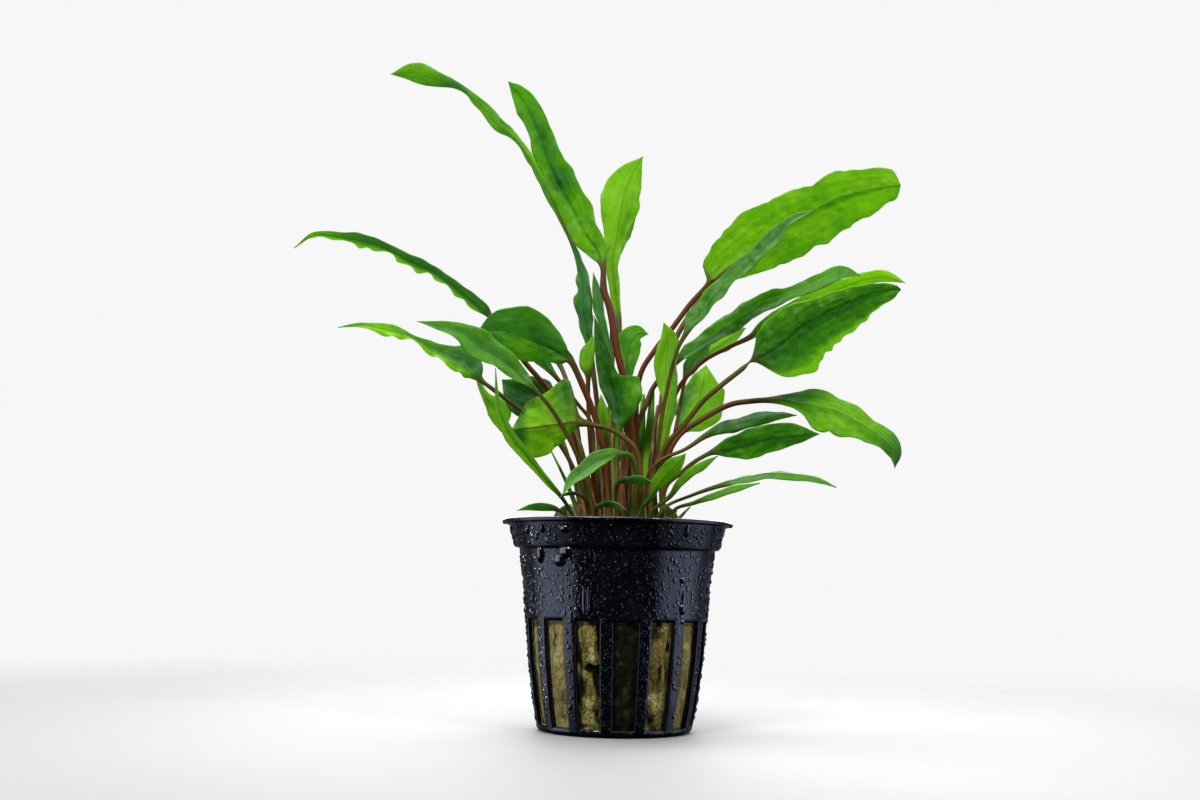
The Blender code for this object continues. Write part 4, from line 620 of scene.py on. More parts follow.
                (-17, 48, 70.6, 2.2, 2.2), (-18.4, 53, 66.5, 0, 0)]),
    dict(name="leaf_back_3", thick=0.55, foot=(4.6, 10.4), turn=-10, fold=-6, shows="top", tone=0.62,
         wave=(0.5, 0.5, 8), **guessedLook,
         stalk=[(8, 16, 61), (12, 25, 71)],
         blade=[(15, 32, 75.5, 0.8, 0.8), (17, 38, 77, 2.6, 2.6), (19, 45, 77, 3.4, 3.4),
                (21, 51, 75, 2.4, 2.4), (23, 56, 71.5, 0, 0)]),
    dict(name="leaf_back_4", thick=0.65, foot=(7.8, 11.4), turn=-15, shows="under", tone=0.7,
         wave=(0.5, 0.5, 10), **guessedLook,
         stalk=[(10.6, 17, 72), (13, 22, 88), (18, 26, 98)],
         blade=[(24.5, 30, 106, 0.8, 0.8), (31, 34, 110.5, 3, 3), (38, 39, 114, 4.2, 4),
                (45, 43, 116.5, 3.4, 3.2), (54, 47, 118, 0, 0)]),
    dict(name="leaf_back_5", thick=0.55, foot=(-8.4, 3.4), turn=15, shows="top", tone=0.45,
         wave=(0.5, 0.5, 12), **guessedLook,
         stalk=[(-8, 11, 66), (-10.6, 17, 80)],
         blade=[(-13.4, 22, 87, 0.8, 0.8), (-17.4, 27, 91, 2.6, 2.6), (-22, 33, 93.6, 3.4, 3.4),
                (-26, 38, 94.6, 2.2, 2.2), (-29.6, 42, 94.4, 0, 0)]),
    dict(name="leaf_back_6", thick=0.6, foot=(-2.2, 10.8), fold=6, shows="under", tone=0.6,
         wave=(0.5, 0.5, 8), **guessedLook,
         stalk=[(-0.6, 17, 76), (-0.4, 24, 94), (-0.2, 29, 104)],
         blade=[(0, 32, 110, 0.8, 0.8), (0.8, 35, 115, 2.2, 2.2), (2, 38, 120, 3, 3),
                (3, 41, 125, 2.2, 2.2), (3.6, 44, 130, 0, 0)]),
    dict(name="leaf_back_7", thick=0.5, foot=(10.6, 8.8), turn=-10, shows="top", tone=0.2,
         wave=(0.5, 0.5, 10), **guessedLook,
         stalk=[(11.6, 20, 51.8)],
         blade=[(12, 31, 52.4, 0.8, 0.8), (12.6, 38, 49.6, 2.6, 2.6), (13.4, 45, 43.6, 3.4, 3.4),
                (14.2, 50, 35.4, 2.4, 2.4), (15, 53, 26, 0, 0)]),
    dict(name="leaf_back_8", thick=0.5, foot=(-8.8, 6.4), turn=10, shows="top", tone=0.2,
         wave=(0.5, 0.5, 12), **guessedLook,
         stalk=[(-9.4, 18, 51.8)],
         blade=[(-10.6, 28, 52.4, 0.8, 0.8), (-12, 35, 49.6, 2.4, 2.4), (-13.4, 42, 43.2, 3, 3),
                (-14.4, 47, 34.8, 2.2, 2.2), (-15, 50, 25.5, 0, 0)]),
    dict(name="leaf_back_9", thick=0.5, foot=(-5, 11), shows="top", tone=0.45, wave=(0.5, 0.5, 8),
         **guessedLook,
         stalk=[(-4, 22, 52.4)],
         blade=[(-3.4, 33, 53, 0.8, 0.8), (-3, 41, 50.4, 2.4, 2.4), (-2.8, 48, 44.4, 3, 3),
                (-2.8, 54, 37.4, 2, 2), (-2.8, 58, 29.6, 0, 0)]),
]


def leafRows(leaf):
    # The leaf's stations from inside the crown to the tip, each a picture point with its two half
    # widths, and the number of the station where the blade starts.
    make, thick, foot = leafMaking, leaf["thick"], np.array(leaf["foot"], float)
    sunk = inPicture(np.array((*(foot * 0.93), crownTop - make["footSunk"])))
    grown = inPicture(np.array((*foot, crownTop + make["footGap"])))
    wider = make["footWider"] * thick
    rows = [(*sunk, 1.5 * thick, 1.5 * thick), (*grown, wider, wider)]
    rows += [(*point, thick, thick) for point in leaf["stalk"]]
    return np.array(rows + leaf["blade"], float), len(rows)


def leafSurface(leaf, number):
    # A closed sheet round the leaf's middle line. s runs along it and v across it, from -1 at the left
    # edge to 1 at the right one. The stalk is a round tube; the blade is the line from the middle to
    # either edge, lifted along its normal by an arch, a slow buckle, side veins, puckers and a wave
    # that grows towards the edge, plus or minus half its thickness, with the midrib as a ridge below.
    make = leafMaking
    rows, base = leafRows(leaf)
    last = len(rows) - 1
    dense = np.linspace(0, last, 80 * last + 1)
    middleLine = inSpace(smoothCurve(rows, dense)[:, :3])
    steps = np.linalg.norm(np.diff(middleLine, axis=0), axis=1)
    lengths = np.concatenate([[0], np.cumsum(steps)])
    stalkLength, total = np.interp(base, dense, lengths), lengths[-1]
    bladeLength = total - stalkLength
    stalkPlaces = np.arange(0, stalkLength - 2, make["stalkStep"])
    bladePlaces = np.linspace(stalkLength - 2, total, int((bladeLength + 2) / make["bladeStep"]) + 2)
    run = np.concatenate([stalkPlaces, bladePlaces])
    place = np.interp(run, lengths, dense)
    here = smoothCurve(rows, place)
    ahead = smoothCurve(rows, np.minimum(place + 0.06, last))[:, :3]
    behind = smoothCurve(rows, np.maximum(place - 0.06, 0))[:, :3]
    along = np.clip((run - stalkLength) / bladeLength, 0, 1)
    isBlade = easeStep(stalkLength - 1.5, stalkLength + 3.5, run)

    # The two edges, and the directions along, across and out of the leaf.
    way = ahead - behind
    side = unit(np.stack([-way[:, 2], np.zeros(len(run)), way[:, 0]], axis=-1))
    roughness = make["edgeRoughness"] * isBlade

    def ragged(halfWidth, seed):
        # The half width, a little wider and narrower along the blade, in long and short waves.
        long, short = (softNoise(run / length, run * 0, seed + more)
                       for length, more in zip(make["raggedLengths"], (0, 5)))
        return np.maximum(halfWidth, make["tipHalfWidth"]) * (1 + roughness * (0.8 * long + 0.25 * short))

    def edge(sign, halfWidth):
        # The real place of an edge: out by the half width, and farther by the turn less the fold.
        farther = np.zeros_like(side)
        farther[:, 1] = halfWidth * (sign * swing - nearer) * isBlade
        return inSpace(here[:, :3] + sign * side * halfWidth[:, None] + farther)

    left, right = ragged(here[:, 3], number + 50), ragged(here[:, 4], number + 150)
    swing, nearer = np.tan(np.radians(leaf["turn"])), np.tan(np.radians(leaf["fold"]))
    middle, edgeLeft, edgeRight = inSpace(here[:, :3]), edge(1, left), edge(-1, right)
    normal = unit(np.cross(unit(inSpace(ahead) - inSpace(behind)), edgeLeft - edgeRight))

    # v and the upper or lower side, for each point round a ring.
    widest = (left + right).max() / make["columnWidth"]
    columns = int(np.clip(widest, make["fewestColumns"], make["mostColumns"]))
    count = np.arange(2 * columns)
    turn = 2 * np.pi * count / (2 * columns)
    even = np.where(count <= columns, -1 + 2 * count / columns, 3 - 2 * count / columns)
    level = np.sign(np.sin(turn)) * (np.abs(np.sin(turn)) > 1e-6)
    bladeV = 0.65 * even - 0.35 * np.cos(turn)
    v = -np.cos(turn) * (1 - isBlade[:, None]) + bladeV * isBlade[:, None]
    isLeft = v < 0
    halfLeft = np.linalg.norm(edgeLeft - middle, axis=1)[:, None]
    halfRight = np.linalg.norm(edgeRight - middle, axis=1)[:, None]
    half = np.where(isLeft, halfLeft, halfRight)
    x = v * half
    s = np.broadcast_to((run - stalkLength)[:, None], v.shape)
    t = along[:, None]

    # How far each point stands out of the sheet between the two edges.
    topSign = 1.0 if leaf["shows"] == "top" else -1.0
    size = np.minimum(half / 2.5, 1)
    fade = (1 - v ** 4) * (1 - 0.6 * t)
    meanHalf = (halfLeft + halfRight) / 2
    arch = leaf["cup"] * meanHalf * (1 - v ** 2)
    buckle = softNoise(s / make["buckleLength"] + number, v * 1.3 + 5, number + 7)
    buckle = make["buckle"] * meanHalf * buckle
    veins = sum(bell(np.abs(x) - place * half, make["veinWidth"]) for place in make["veinPlaces"])
    veins = veins * fade * size
    longest, widest = make["puckerSize"]
    pucker = 0.5 + 0.5 * softNoise(s / longest + 3, x / widest + 20, number + 11)
    pucker = pucker * fade * (1 - bell(x, 0.9)) * size
    longest, widest = make["finePuckerSize"]
    pucker += 0.5 * softNoise(s / longest + 9, x / widest + 20, number + 13) * fade * size
    waveLeft, waveRight, waveLength = leaf["wave"]
    waveHeight = np.where(isLeft, waveLeft, waveRight)
    shift = softNoise(s / waveLength + 4, np.sign(v) * 3 + 8, number + 17)
    shift = np.where(isLeft, 0.0, 2.1) + 1.6 * shift
    wave = np.sin(2 * np.pi * s / waveLength + shift + number)
    wave += 0.4 * softNoise(s / make["fineWaveLength"] + 7, np.sign(v) * 2 + 11, number + 19)
    swell = np.sqrt(np.clip(np.sin(np.pi * t), 0, 1))
    wave = wave * waveHeight * np.abs(v) ** 2.3 * size * swell * make["waveRise"]
    relief = make["puckerRise"] * leaf["pucker"] * pucker - make["veinDepth"] * veins
    lift = arch + buckle + wave + topSign * relief
    ribRadius = leaf["thick"] * 0.75 * (1 - t) ** 0.8 + 0.1
    ridge = 0.85 * ribRadius * bell(x, 0.85 * ribRadius)
    groove = 0.22 * ribRadius * bell(x, 0.6 * ribRadius)
    rib = np.where(level == -topSign, ridge, groove)
    skinHalf = make["bladeHalfThickness"] * np.clip(1 - v ** 2, 0, 1) ** 0.35
    sheet = level * skinHalf + lift - topSign * rib
    tube = meanHalf * np.sin(turn)
    offset = tube * (1 - isBlade[:, None]) + sheet * isBlade[:, None]
    toEdge = np.where(isLeft[..., None], (edgeLeft - middle)[:, None, :], (edgeRight - middle)[:, None, :])
    points = middle[:, None, :] + toEdge * np.abs(v)[..., None] + normal[:, None, :] * offset[..., None]

    # What the material reads: where on the leaf each point is, how bright it is with painted light and
    # shade, and how much painted bluish sheen it has.
    isTop = 0.5 + 0.5 * level * topSign
    hidden = 1 - np.broadcast_to(0.5 + 0.5 * level, v.shape)
    tone, blue = np.full(v.shape, leaf["tone"]), np.full(v.shape, leaf["blue"])
    # Spots paint patches of light and shade as well as colour, and patches of painted sheen.
    for (at, across, lengthwise, crosswise, lighter, bluer) in leaf["spots"]:
        patch = np.exp(-((t - at) / lengthwise) ** 2 - ((v - across) / crosswise) ** 2)
        tone, blue = tone + lighter * patch, blue + bluer * patch
    otherTone, otherBlue = make["otherSide"][leaf["shows"]]
    tone, blue = tone + hidden * otherTone, blue + hidden * otherBlue
    reach = np.where(run < stalkLength, run / stalkLength - 1, along)[:, None]
    values = {
        "flow": (x, s, 40.0 * number),
        "field": (v, reach, isBlade[:, None]),
        "paint": (tone, np.clip(blue, 0, 1), leaf["brown"]),
        "side": (isTop, half, leaf["red"]),
    }
    return points, {name: np.stack(np.broadcast_arrays(*three, v)[:3], axis=-1)
                    for name, three in values.items()}


def buildLeaf(leaf, number, skin):
    # The leaf as a closed tube that stays inside the CAD box, with its values stored for the skin.
    points, values = leafSurface(leaf, number)
    low, high = (np.array(corner) / millimetre for corner in cadBox)
    mesh = buildMesh(leaf["name"], *closedTube(np.clip(points, low, high)))
    for name, rows in values.items():
        ends = [rows[0].mean(axis=0), rows[-1].mean(axis=0)]
        storeValues(mesh, name, np.vstack([rows.reshape(-1, 3), *ends]))
    return addPiece("skin_" + leaf["name"], mesh, [skin], leaf["name"])


leafColours = {
    "tones": [(0.0, (0.010, 0.085, 0.003)), (0.33, (0.038, 0.190, 0.003)),
              (0.66, (0.115, 0.350, 0.004)), (1.0, (0.240, 0.520, 0.003))],
    # The next two colours are a painted bluish sheen and painted pale glints on the tops; then the pale
    # edge.
    "paintedSheenGreen": (0.050, 0.215, 0.045), "paintedGlint": (0.260, 0.400, 0.240), "margin": (0.260, 0.480, 0.060),
    "groove": (0.012, 0.095, 0.006), "brown": (0.120, 0.062, 0.012),
    # What light that comes through looks like, and its share.
    "seenThrough": [(0.0, (0.018, 0.120, 0.000)), (0.5, (0.170, 0.500, 0.000)),
                    (1.0, (0.480, 0.900, 0.000))],
    # Where the painted sheen lies, the light that comes through is bluer too.
    "seenThroughSheen": (0.06, 0.26, 0.03), "seenThroughStalk": (0.02, 0.01, 0.003), "throughShare": 0.45,
    # The stalk from the crown to the blade, its dark threads, and the painted shade along its sides.
    "redStalk": [(0.0, (0.60, 0.42, 0.140)), (0.12, (0.42, 0.200, 0.045)), (0.4, (0.290, 0.070, 0.009)),
                 (0.86, (0.210, 0.054, 0.006)), (1.0, (0.150, 0.085, 0.009))],
    "oliveStalk": [(0.0, (0.62, 0.52, 0.17)), (0.14, (0.42, 0.32, 0.080)), (0.5, (0.220, 0.180, 0.022)),
                   (0.85, (0.140, 0.160, 0.012)), (1.0, (0.120, 0.200, 0.014))],
    "greenStalk": [(0.0, (0.40, 0.46, 0.110)), (0.3, (0.150, 0.320, 0.018)), (1.0, (0.110, 0.330, 0.008))],
    "thread": (0.050, 0.020, 0.005), "paintedStalkSideShade": (0.030, 0.013, 0.003),
    # How far each pattern brightens and darkens the green.
    "mottle": 0.42, "grain": 0.24, "streak": 0.34, "fibre": 0.26,
    "cloudsBelow": 0.20, "cloudsMoreOnTop": 0.24, "linesBelow": -0.09, "linesMoreOnTop": 0.16,
    "netShare": 0.55,  # how strong the net is beside the side veins
    "specular": 0.24, "roughness": (0.50, -0.13, 0.10),  # below, how much less on top, and in grains
}


def leafSkin():
    # Green by tone, which holds painted light and shade, mottled, with a painted bluish sheen and painted
    # glints, side veins, a fine net, a midrib, a pale edge and a brown stalk with painted shade on its
    # sides.
    c = leafColours
    skin = Recipe(bpy.data.materials.new("leafSkin"))
    flow, x, _, _ = skin.attribute("flow")
    _, v, reach, isBlade = skin.attribute("field")
    _, tone, blue, brownReach = skin.attribute("paint")
    _, isTop, half, red = skin.attribute("side")
    along = skin.math("MAXIMUM", reach, 0.0)
    stalkAlong = skin.math("MINIMUM", skin.math("ADD", reach, 1.0), 1.0)
    mottle = skin.noise(flow, 0.30, 3.0, 0.55)
    grain = skin.noise(flow, 1.8)
    streak = skin.streaks(flow, (1.2, 0.10, 1.0))
    fibre = skin.streaks(flow, (3.4, 0.24, 1.0))
    clouds = skin.streaks(flow, (0.95, 0.55, 1.0), (0.0, 0.0, 0.5))
    threads = skin.streaks(flow, (3.2, 0.16, 1.0))

    # Places across the blade, with a slight wander: the veins stay even distances apart.
    sideways = skin.math("ABSOLUTE", skin.sway(v, mottle, 0.10))
    lines = skin.cells(skin.stretched(flow, (0.75, 0.42, 1.0), (0.0, 0.0, 0.35)), 1.0, "DISTANCE_TO_EDGE")
    lines = skin.times(skin.step(lines, 0.0, 0.10, 1.0, 0.0), c["netShare"])
    for place in leafMaking["veinPlaces"]:
        away = skin.times(skin.math("ABSOLUTE", skin.math("SUBTRACT", sideways, place)), half)
        lines = skin.math("MAXIMUM", lines, skin.step(away, 0.04, 0.24, 1.0, 0.0))
    lines = skin.times(lines, skin.step(along, 0.0, 0.06))

    # How bright each place is: the lines are darker below and brighter on top.
    toneHere = tone
    cloudShare = skin.math("MULTIPLY_ADD", isTop, c["cloudsMoreOnTop"], c["cloudsBelow"])
    for pattern, share in ((mottle, c["mottle"]), (grain, c["grain"]), (clouds, cloudShare),
                           (streak, c["streak"]), (fibre, c["fibre"])):
        toneHere = skin.sway(toneHere, pattern, share)
    lineShade = skin.math("MULTIPLY_ADD", isTop, c["linesMoreOnTop"], c["linesBelow"])
    toneHere = skin.math("MULTIPLY_ADD", lines, lineShade, toneHere)

    green = skin.ramp(toneHere, c["tones"])
    # Painted sheen: a bluish green laid over the green in streaks, as much as the leaf's sheen says.
    bluePart = skin.times(blue, skin.step(streak, 0.25, 0.7, 0.35, 1.0))
    green = skin.mix(bluePart, green, c["paintedSheenGreen"])
    # Painted glints: pale grey green streaks on the tops of leaves with a painted sheen.
    paintedGlint = skin.times(skin.step(streak, 0.60, 0.74), skin.times(blue, isTop))
    green = skin.mix(skin.times(paintedGlint, 0.55), green, c["paintedGlint"])
    fromEdge = skin.times(skin.math("SUBTRACT", 1.0, skin.math("ABSOLUTE", v)), half)
    green = skin.mix(skin.times(skin.step(fromEdge, 0.03, 0.22, 1.0, 0.0), 0.45), green, c["margin"])
    ribWidth = skin.math("MULTIPLY_ADD", along, -0.30, 0.48)
    rib = skin.step(skin.math("DIVIDE", skin.math("ABSOLUTE", x), ribWidth), 0.45, 1.0, 1.0, 0.0)
    ribBrown = skin.step(skin.math("SUBTRACT", along, brownReach), -0.04, 0.05, 1.0, 0.0)
    grooveShare = skin.math("MULTIPLY_ADD", along, -0.35, 0.45)
    ribColour = skin.mix(ribBrown, skin.mix(grooveShare, green, c["groove"]), c["brown"])
    green = skin.mix(skin.times(rib, 0.8), green, ribColour)

    # The stalk: pale tan in the crown, red brown above it, and greener towards the blade.
    stalk = skin.mix(red, skin.ramp(stalkAlong, c["oliveStalk"]), skin.ramp(stalkAlong, c["redStalk"]))
    stalk = skin.mix(skin.step(red, -1.0, 0.0, 1.0, 0.0), stalk, skin.ramp(stalkAlong, c["greenStalk"]))
    stalk = skin.mix(skin.step(threads, 0.42, 0.74, 0.0, 0.65), stalk, c["thread"])
    # Painted shade: the stalk is darker towards its sides, so that it looks round.
    stalk = skin.mix(skin.step(skin.math("ABSOLUTE", v), 0.35, 0.95, 0.0, 0.6), stalk, c["paintedStalkSideShade"])
    colour = skin.mix(isBlade, stalk, green)

    through = skin.ramp(toneHere, c["seenThrough"])
    # The painted sheen shows in the light that comes through as well.
    through = skin.mix(bluePart, through, c["seenThroughSheen"])
    through = skin.mix(skin.times(rib, 0.8), through, ribColour)
    through = skin.mix(isBlade, skin.mix(0.35, stalk, c["seenThroughStalk"]), through)

    below, lessOnTop, grainy = c["roughness"]
    roughness = skin.math("MULTIPLY_ADD", isTop, lessOnTop, below)
    roughness = skin.math("ADD", roughness, skin.times(grain, grainy))
    solid = skin.principled(colour, roughness, c["specular"])
    lit = skin.add("BsdfTranslucent", {"Color": through}).outputs[0]
    return skin.finish(skin.mixShaders(c["throughShare"], solid, lit))


# The pot: its wall turned round the axis, with slots between the ribs.

def wallRadius(height):
    # The outside of the wall, straight between the sizes that are known.
    p = potShape
    heights = (0.0, p["baseCorner"], p["ribFootLevel"], p["ribMiddleLevel"], p["slotTop"],
               p["bodyMiddleLevel"], p["collarFootLevel"])
    radii = (p["baseRadius"], p["baseRadius"], p["ribFootRadius"], p["ribMiddleRadius"], p["slotTopRadius"],
             p["bodyMiddleRadius"], p["bodyTopRadius"])
    return np.interp(height, heights, radii)


def wallHere(heights):
    # The outside of the pot at any height below the rim, collar included.
    p = potShape
    collar = np.interp(heights, (p["collarFootLevel"] + 0.3, p["height"] - 1.3),
                       (p["collarFootRadius"], p["collarTopRadius"]))
    return np.where(heights > p["collarFootLevel"] + 0.2, collar, wallRadius(heights))


def fromRib(angles):
    # How far each angle is from the middle of the nearest rib.
    return np.abs((angles - firstRib + slotPitch / 2) % slotPitch - slotPitch / 2)


def potProfile():
    # The outline of the wall as radii and heights: out from the middle of the underside, up the
    # outside, over the rim and down the inside. Also where its slotted rows begin outside and inside.
    p = potShape
    base, top, rimFoot = p["baseRadius"], p["height"], p["height"] - p["rimThickness"]
    slotRows = np.concatenate([[p["slotBottom"], p["slotBottom"] + 0.15],
                               np.arange(p["slotBottom"] + 0.6, p["slotTop"] - 0.5, 0.8),
                               [p["slotTop"] - 0.15, p["slotTop"]]])
    under = [(base * 0.4, 0.0), (base * 0.75, 0.0), (base - p["baseCorner"], 0.0)]
    corner = np.linspace(0.2, 1, 5) * np.pi / 2
    under += [(base - p["baseCorner"] * (1 - np.sin(a)), p["baseCorner"] * (1 - np.cos(a))) for a in corner]
    outerSlots = [(wallRadius(z), z) for z in slotRows]
    upper = [(wallRadius(z), z) for z in np.arange(p["slotTop"] + 0.3, p["collarFootLevel"] - 0.3, 0.9)]
    body, foot, level = p["bodyTopRadius"], p["collarFootRadius"], p["collarFootLevel"]
    collarTop, rim, wall = p["collarTopRadius"], p["rimRadius"], p["wall"]
    upper += [(body, level - 0.15), (body + 0.12, level), (foot - 0.08, level + 0.12), (foot, level + 0.35)]
    upper += [(foot + (collarTop - foot) * rise, level + 0.35 + (rimFoot - 0.5 - level) * rise)
              for rise in np.linspace(0.12, 1, 8)]
    upper += [(collarTop + 0.5, rimFoot - 0.02), (rim - 0.3, rimFoot), (rim - 0.08, rimFoot + 0.08),
              (rim, rimFoot + 0.3), (rim, top - 0.28), (rim - 0.1, top - 0.08), (rim - 0.35, top)]
    inside = [(collarTop - wall + 0.4, top), (collarTop - wall + 0.1, top - 0.12),
              (collarTop - wall, top - 0.5), (body - wall + 0.25, level + 0.35), (body - wall, level - 0.2)]
    inside += [(wallRadius(z) - wall, z)
               for z in np.arange(p["bodyMiddleLevel"] + 4, p["slotTop"] + 0.5, -2.0)]
    innerSlots = [(r - wall, z) for r, z in outerSlots[::-1]]
    floorRows = [(base - wall - 0.5, p["floor"]), (base * 0.6, p["floor"]), (base * 0.3, p["floor"])]
    profile = np.array(under + outerSlots + upper + inside + innerSlots + floorRows)
    return profile, len(under), len(under + outerSlots + upper + inside), len(slotRows)


def buildPotWall():
    # Rings of the outline at every column of angle. Faces inside the slots are left out, and the
    # outside is joined to the inside all round each slot's edge. The ribs' corners are rounded.
    p = potShape
    profile, outerStart, innerStart, slotCount = potProfile()
    ribPlaces = np.array((-1, -0.93, -0.8, -0.45, 0, 0.45, 0.8, 0.93)) * ribHalf
    slotPlaces = ribHalf + np.arange(p["slotColumns"]) / p["slotColumns"] * np.radians(p["slotAngle"])
    period = np.concatenate([ribPlaces, slotPlaces])
    angles = firstRib + (np.arange(p["slotCount"])[:, None] * slotPitch + period).ravel()
    columns, rings, perPeriod = len(angles), len(profile), len(period)
    radius = np.repeat(profile[:, :1], columns, axis=1)
    inside = ribHalf - np.abs(np.concatenate([ribPlaces, np.full(len(slotPlaces), ribHalf)]))
    fromEdge = np.tile(inside * p["ribMiddleRadius"], p["slotCount"])
    short = np.clip(1 - fromEdge / p["edgeRound"], 0, 1)
    slotRows = slice(outerStart, outerStart + slotCount)
    radius[slotRows] -= p["edgeRound"] * (1 - np.sqrt(1 - short ** 2)) * 0.9
    points = aroundAxis(radius, angles, profile[:, 1:])

    ring, column = np.meshgrid(np.arange(rings - 1), np.arange(columns), indexing="ij")
    quads = tubeFaces(rings, columns)
    inSlot = column % perPeriod >= len(ribPlaces)
    outerRows = (ring >= outerStart) & (ring < outerStart + slotCount - 1)
    innerRows = (ring >= innerStart) & (ring < innerStart + slotCount - 1)
    quads = quads[~(inSlot & (outerRows | innerRows)).ravel()]

    # The slots' own sides, tops and bottoms.
    outer = np.arange(outerStart, outerStart + slotCount)
    inner = np.arange(innerStart + slotCount - 1, innerStart - 1, -1)
    starts = np.arange(p["slotCount"]) * perPeriod + len(ribPlaces)
    ends = (starts + p["slotColumns"]) % columns

    def faces(corners, flipped):
        four = np.stack(corners, axis=-1).reshape(-1, 4)
        return four[:, ::-1] if flipped else four

    def sides(atColumns, flipped):
        rows = outer[:-1], inner[:-1], inner[1:], outer[1:]
        return faces([row[:, None] * columns + atColumns for row in rows], flipped)

    def crossings(outerRow, innerRow, flipped):
        here = (starts[:, None] + np.arange(p["slotColumns"])) % columns
        there = (here + 1) % columns
        return faces([outerRow * columns + here, innerRow * columns + here,
                      innerRow * columns + there, outerRow * columns + there], flipped)

    quads = np.vstack([quads, sides(starts, False), sides(ends, True),
                       crossings(outer[-1], inner[-1], False), crossings(outer[0], inner[0], True)])
    total = rings * columns
    vertices = np.vstack([points.reshape(-1, 3), (0, 0, 0), (0, 0, p["floor"])])
    triangles = np.vstack([fanFaces(0, columns, total, True),
                           fanFaces(total - columns, columns, total + 1, False)])
    return vertices, quads, triangles


# Beads and runs that stand out of the pot's skin, in millimetres. The large ones are named places:
# (angle from the front in degrees, height, half width, half height, how far it stands out). The sizes
# of the others are the smallest, the largest, and the power that makes small ones commoner.
beadSpread = {
    "large": [(-50, 39.8, 1.2, 2.1, 0.9), (-30.3, 40.4, 2.0, 1.6, 0.95), (-35.0, 38.6, 1.7, 1.6, 0.9),
              (-20, 29.6, 0.5, 3.2, 0.4), (-17.5, 29.8, 0.35, 3.0, 0.35), (42.6, 30.2, 0.5, 2.8, 0.45),
              (42.6, 28.2, 0.9, 1.4, 0.7), (41, 34.6, 0.8, 0.9, 0.55), (-43, 45.4, 0.6, 1.1, 0.5),
              (-28.5, 45.4, 1.3, 1.0, 0.7), (37, 45.2, 0.6, 1.4, 0.5), (27, 45.0, 0.7, 0.6, 0.45),
              (-56, 45.0, 0.7, 0.9, 0.5), (43.5, 25.4, 0.6, 0.6, 0.45), (150, 37.0, 1.6, 1.8, 0.8),
              (205, 31.0, 0.6, 2.6, 0.4), (112, 39.0, 1.0, 1.4, 0.6), (-120, 35.0, 1.3, 1.9, 0.7)],
    "fine": 13000, "middling": 3800, "rim": 190, "seed": 21,
    "fineSize": (0.09, 0.24, 1.9), "middlingSize": (0.18, 0.56, 1.25), "rimSize": (0.18, 0.46),
    "standing": 0.72, "rimStanding": 0.40,
}


def blobField(angles, heights, halfWidths, halfHeights, standing, rings, sides, radius=None):
    # A flattened dome on the wall for each row: its middle lies in the wall, east runs round the
    # pot, north up the wall, and it stands out along the wall's normal.
    zero = np.zeros(len(angles))
    slope = (wallHere(heights + 0.2) - wallHere(heights - 0.2)) / 0.4 if radius is None else zero
    radius = wallHere(heights) if radius is None else radius + zero
    east = np.stack([np.cos(angles), np.sin(angles), zero], axis=-1)
    outward = aroundAxis(1, angles, 0)
    north = unit(outward * slope[:, None] + np.array((0, 0, 1.0)))
    normal = unit(np.cross(east, north))
    middle = outward * radius[:, None] + np.stack([zero, zero, heights], axis=-1) - normal * 0.02
    tilt = np.linspace(-0.4, np.pi / 2, rings + 1)[:-1, None]
    spin = 2 * np.pi * np.arange(sides) / sides
    ball = np.stack(np.broadcast_arrays(np.cos(tilt) * np.cos(spin), np.cos(tilt) * np.sin(spin),
                                        np.sin(tilt)), axis=-1).reshape(-1, 3)
    ball = np.vstack([ball, (0, 0, -0.45), (0, 0, 1)])
    axes = east * halfWidths[:, None], north * halfHeights[:, None], normal * standing[:, None]
    points = middle[:, None, :]
    for share, axis in zip(ball.T, axes):
        points = points + share[None, :, None] * axis[:, None, :]
    return tubeField(points, rings, sides)


def scatterOnPot(count, sizes, seed):
    # Random angles and heights on the outside, where it is not a slot, with a size for each:
    # smallest + (largest - smallest) chance to the power that comes last in sizes.
    p = potShape
    smallest, largest, power = sizes
    chance = np.random.default_rng(seed)
    angles = chance.uniform(0, 2 * np.pi, count)
    heights = chance.uniform(2.0, p["height"] - 1.6, count)
    radii = smallest + (largest - smallest) * chance.uniform(0, 1, count) ** power
    onRib = fromRib(angles) * p["ribMiddleRadius"] < ribHalf * p["ribMiddleRadius"] - radii - 0.2
    clearStep = np.abs(heights - p["collarFootLevel"]) > radii + 0.35
    keep = (onRib | (heights > p["slotTop"] + radii + 0.2)) & clearStep
    longer = 1 + 0.9 * chance.uniform(0, 1, count) ** 3
    standing = radii * beadSpread["standing"]
    return angles[keep], heights[keep], radii[keep], (radii * longer)[keep], standing[keep]


def rimBeads():
    # Beads on the edge of the rim, with a size for each.
    spread = beadSpread
    chance = np.random.default_rng(spread["seed"] + 2)
    count = spread["rim"]
    radii = chance.uniform(*spread["rimSize"], count)
    heights = potShape["height"] - 0.5 - 0.3 * chance.uniform(0, 1, count)
    standing = np.full(count, spread["rimStanding"])
    return chance.uniform(0, 2 * np.pi, count), heights, radii, np.minimum(radii, 0.36), standing


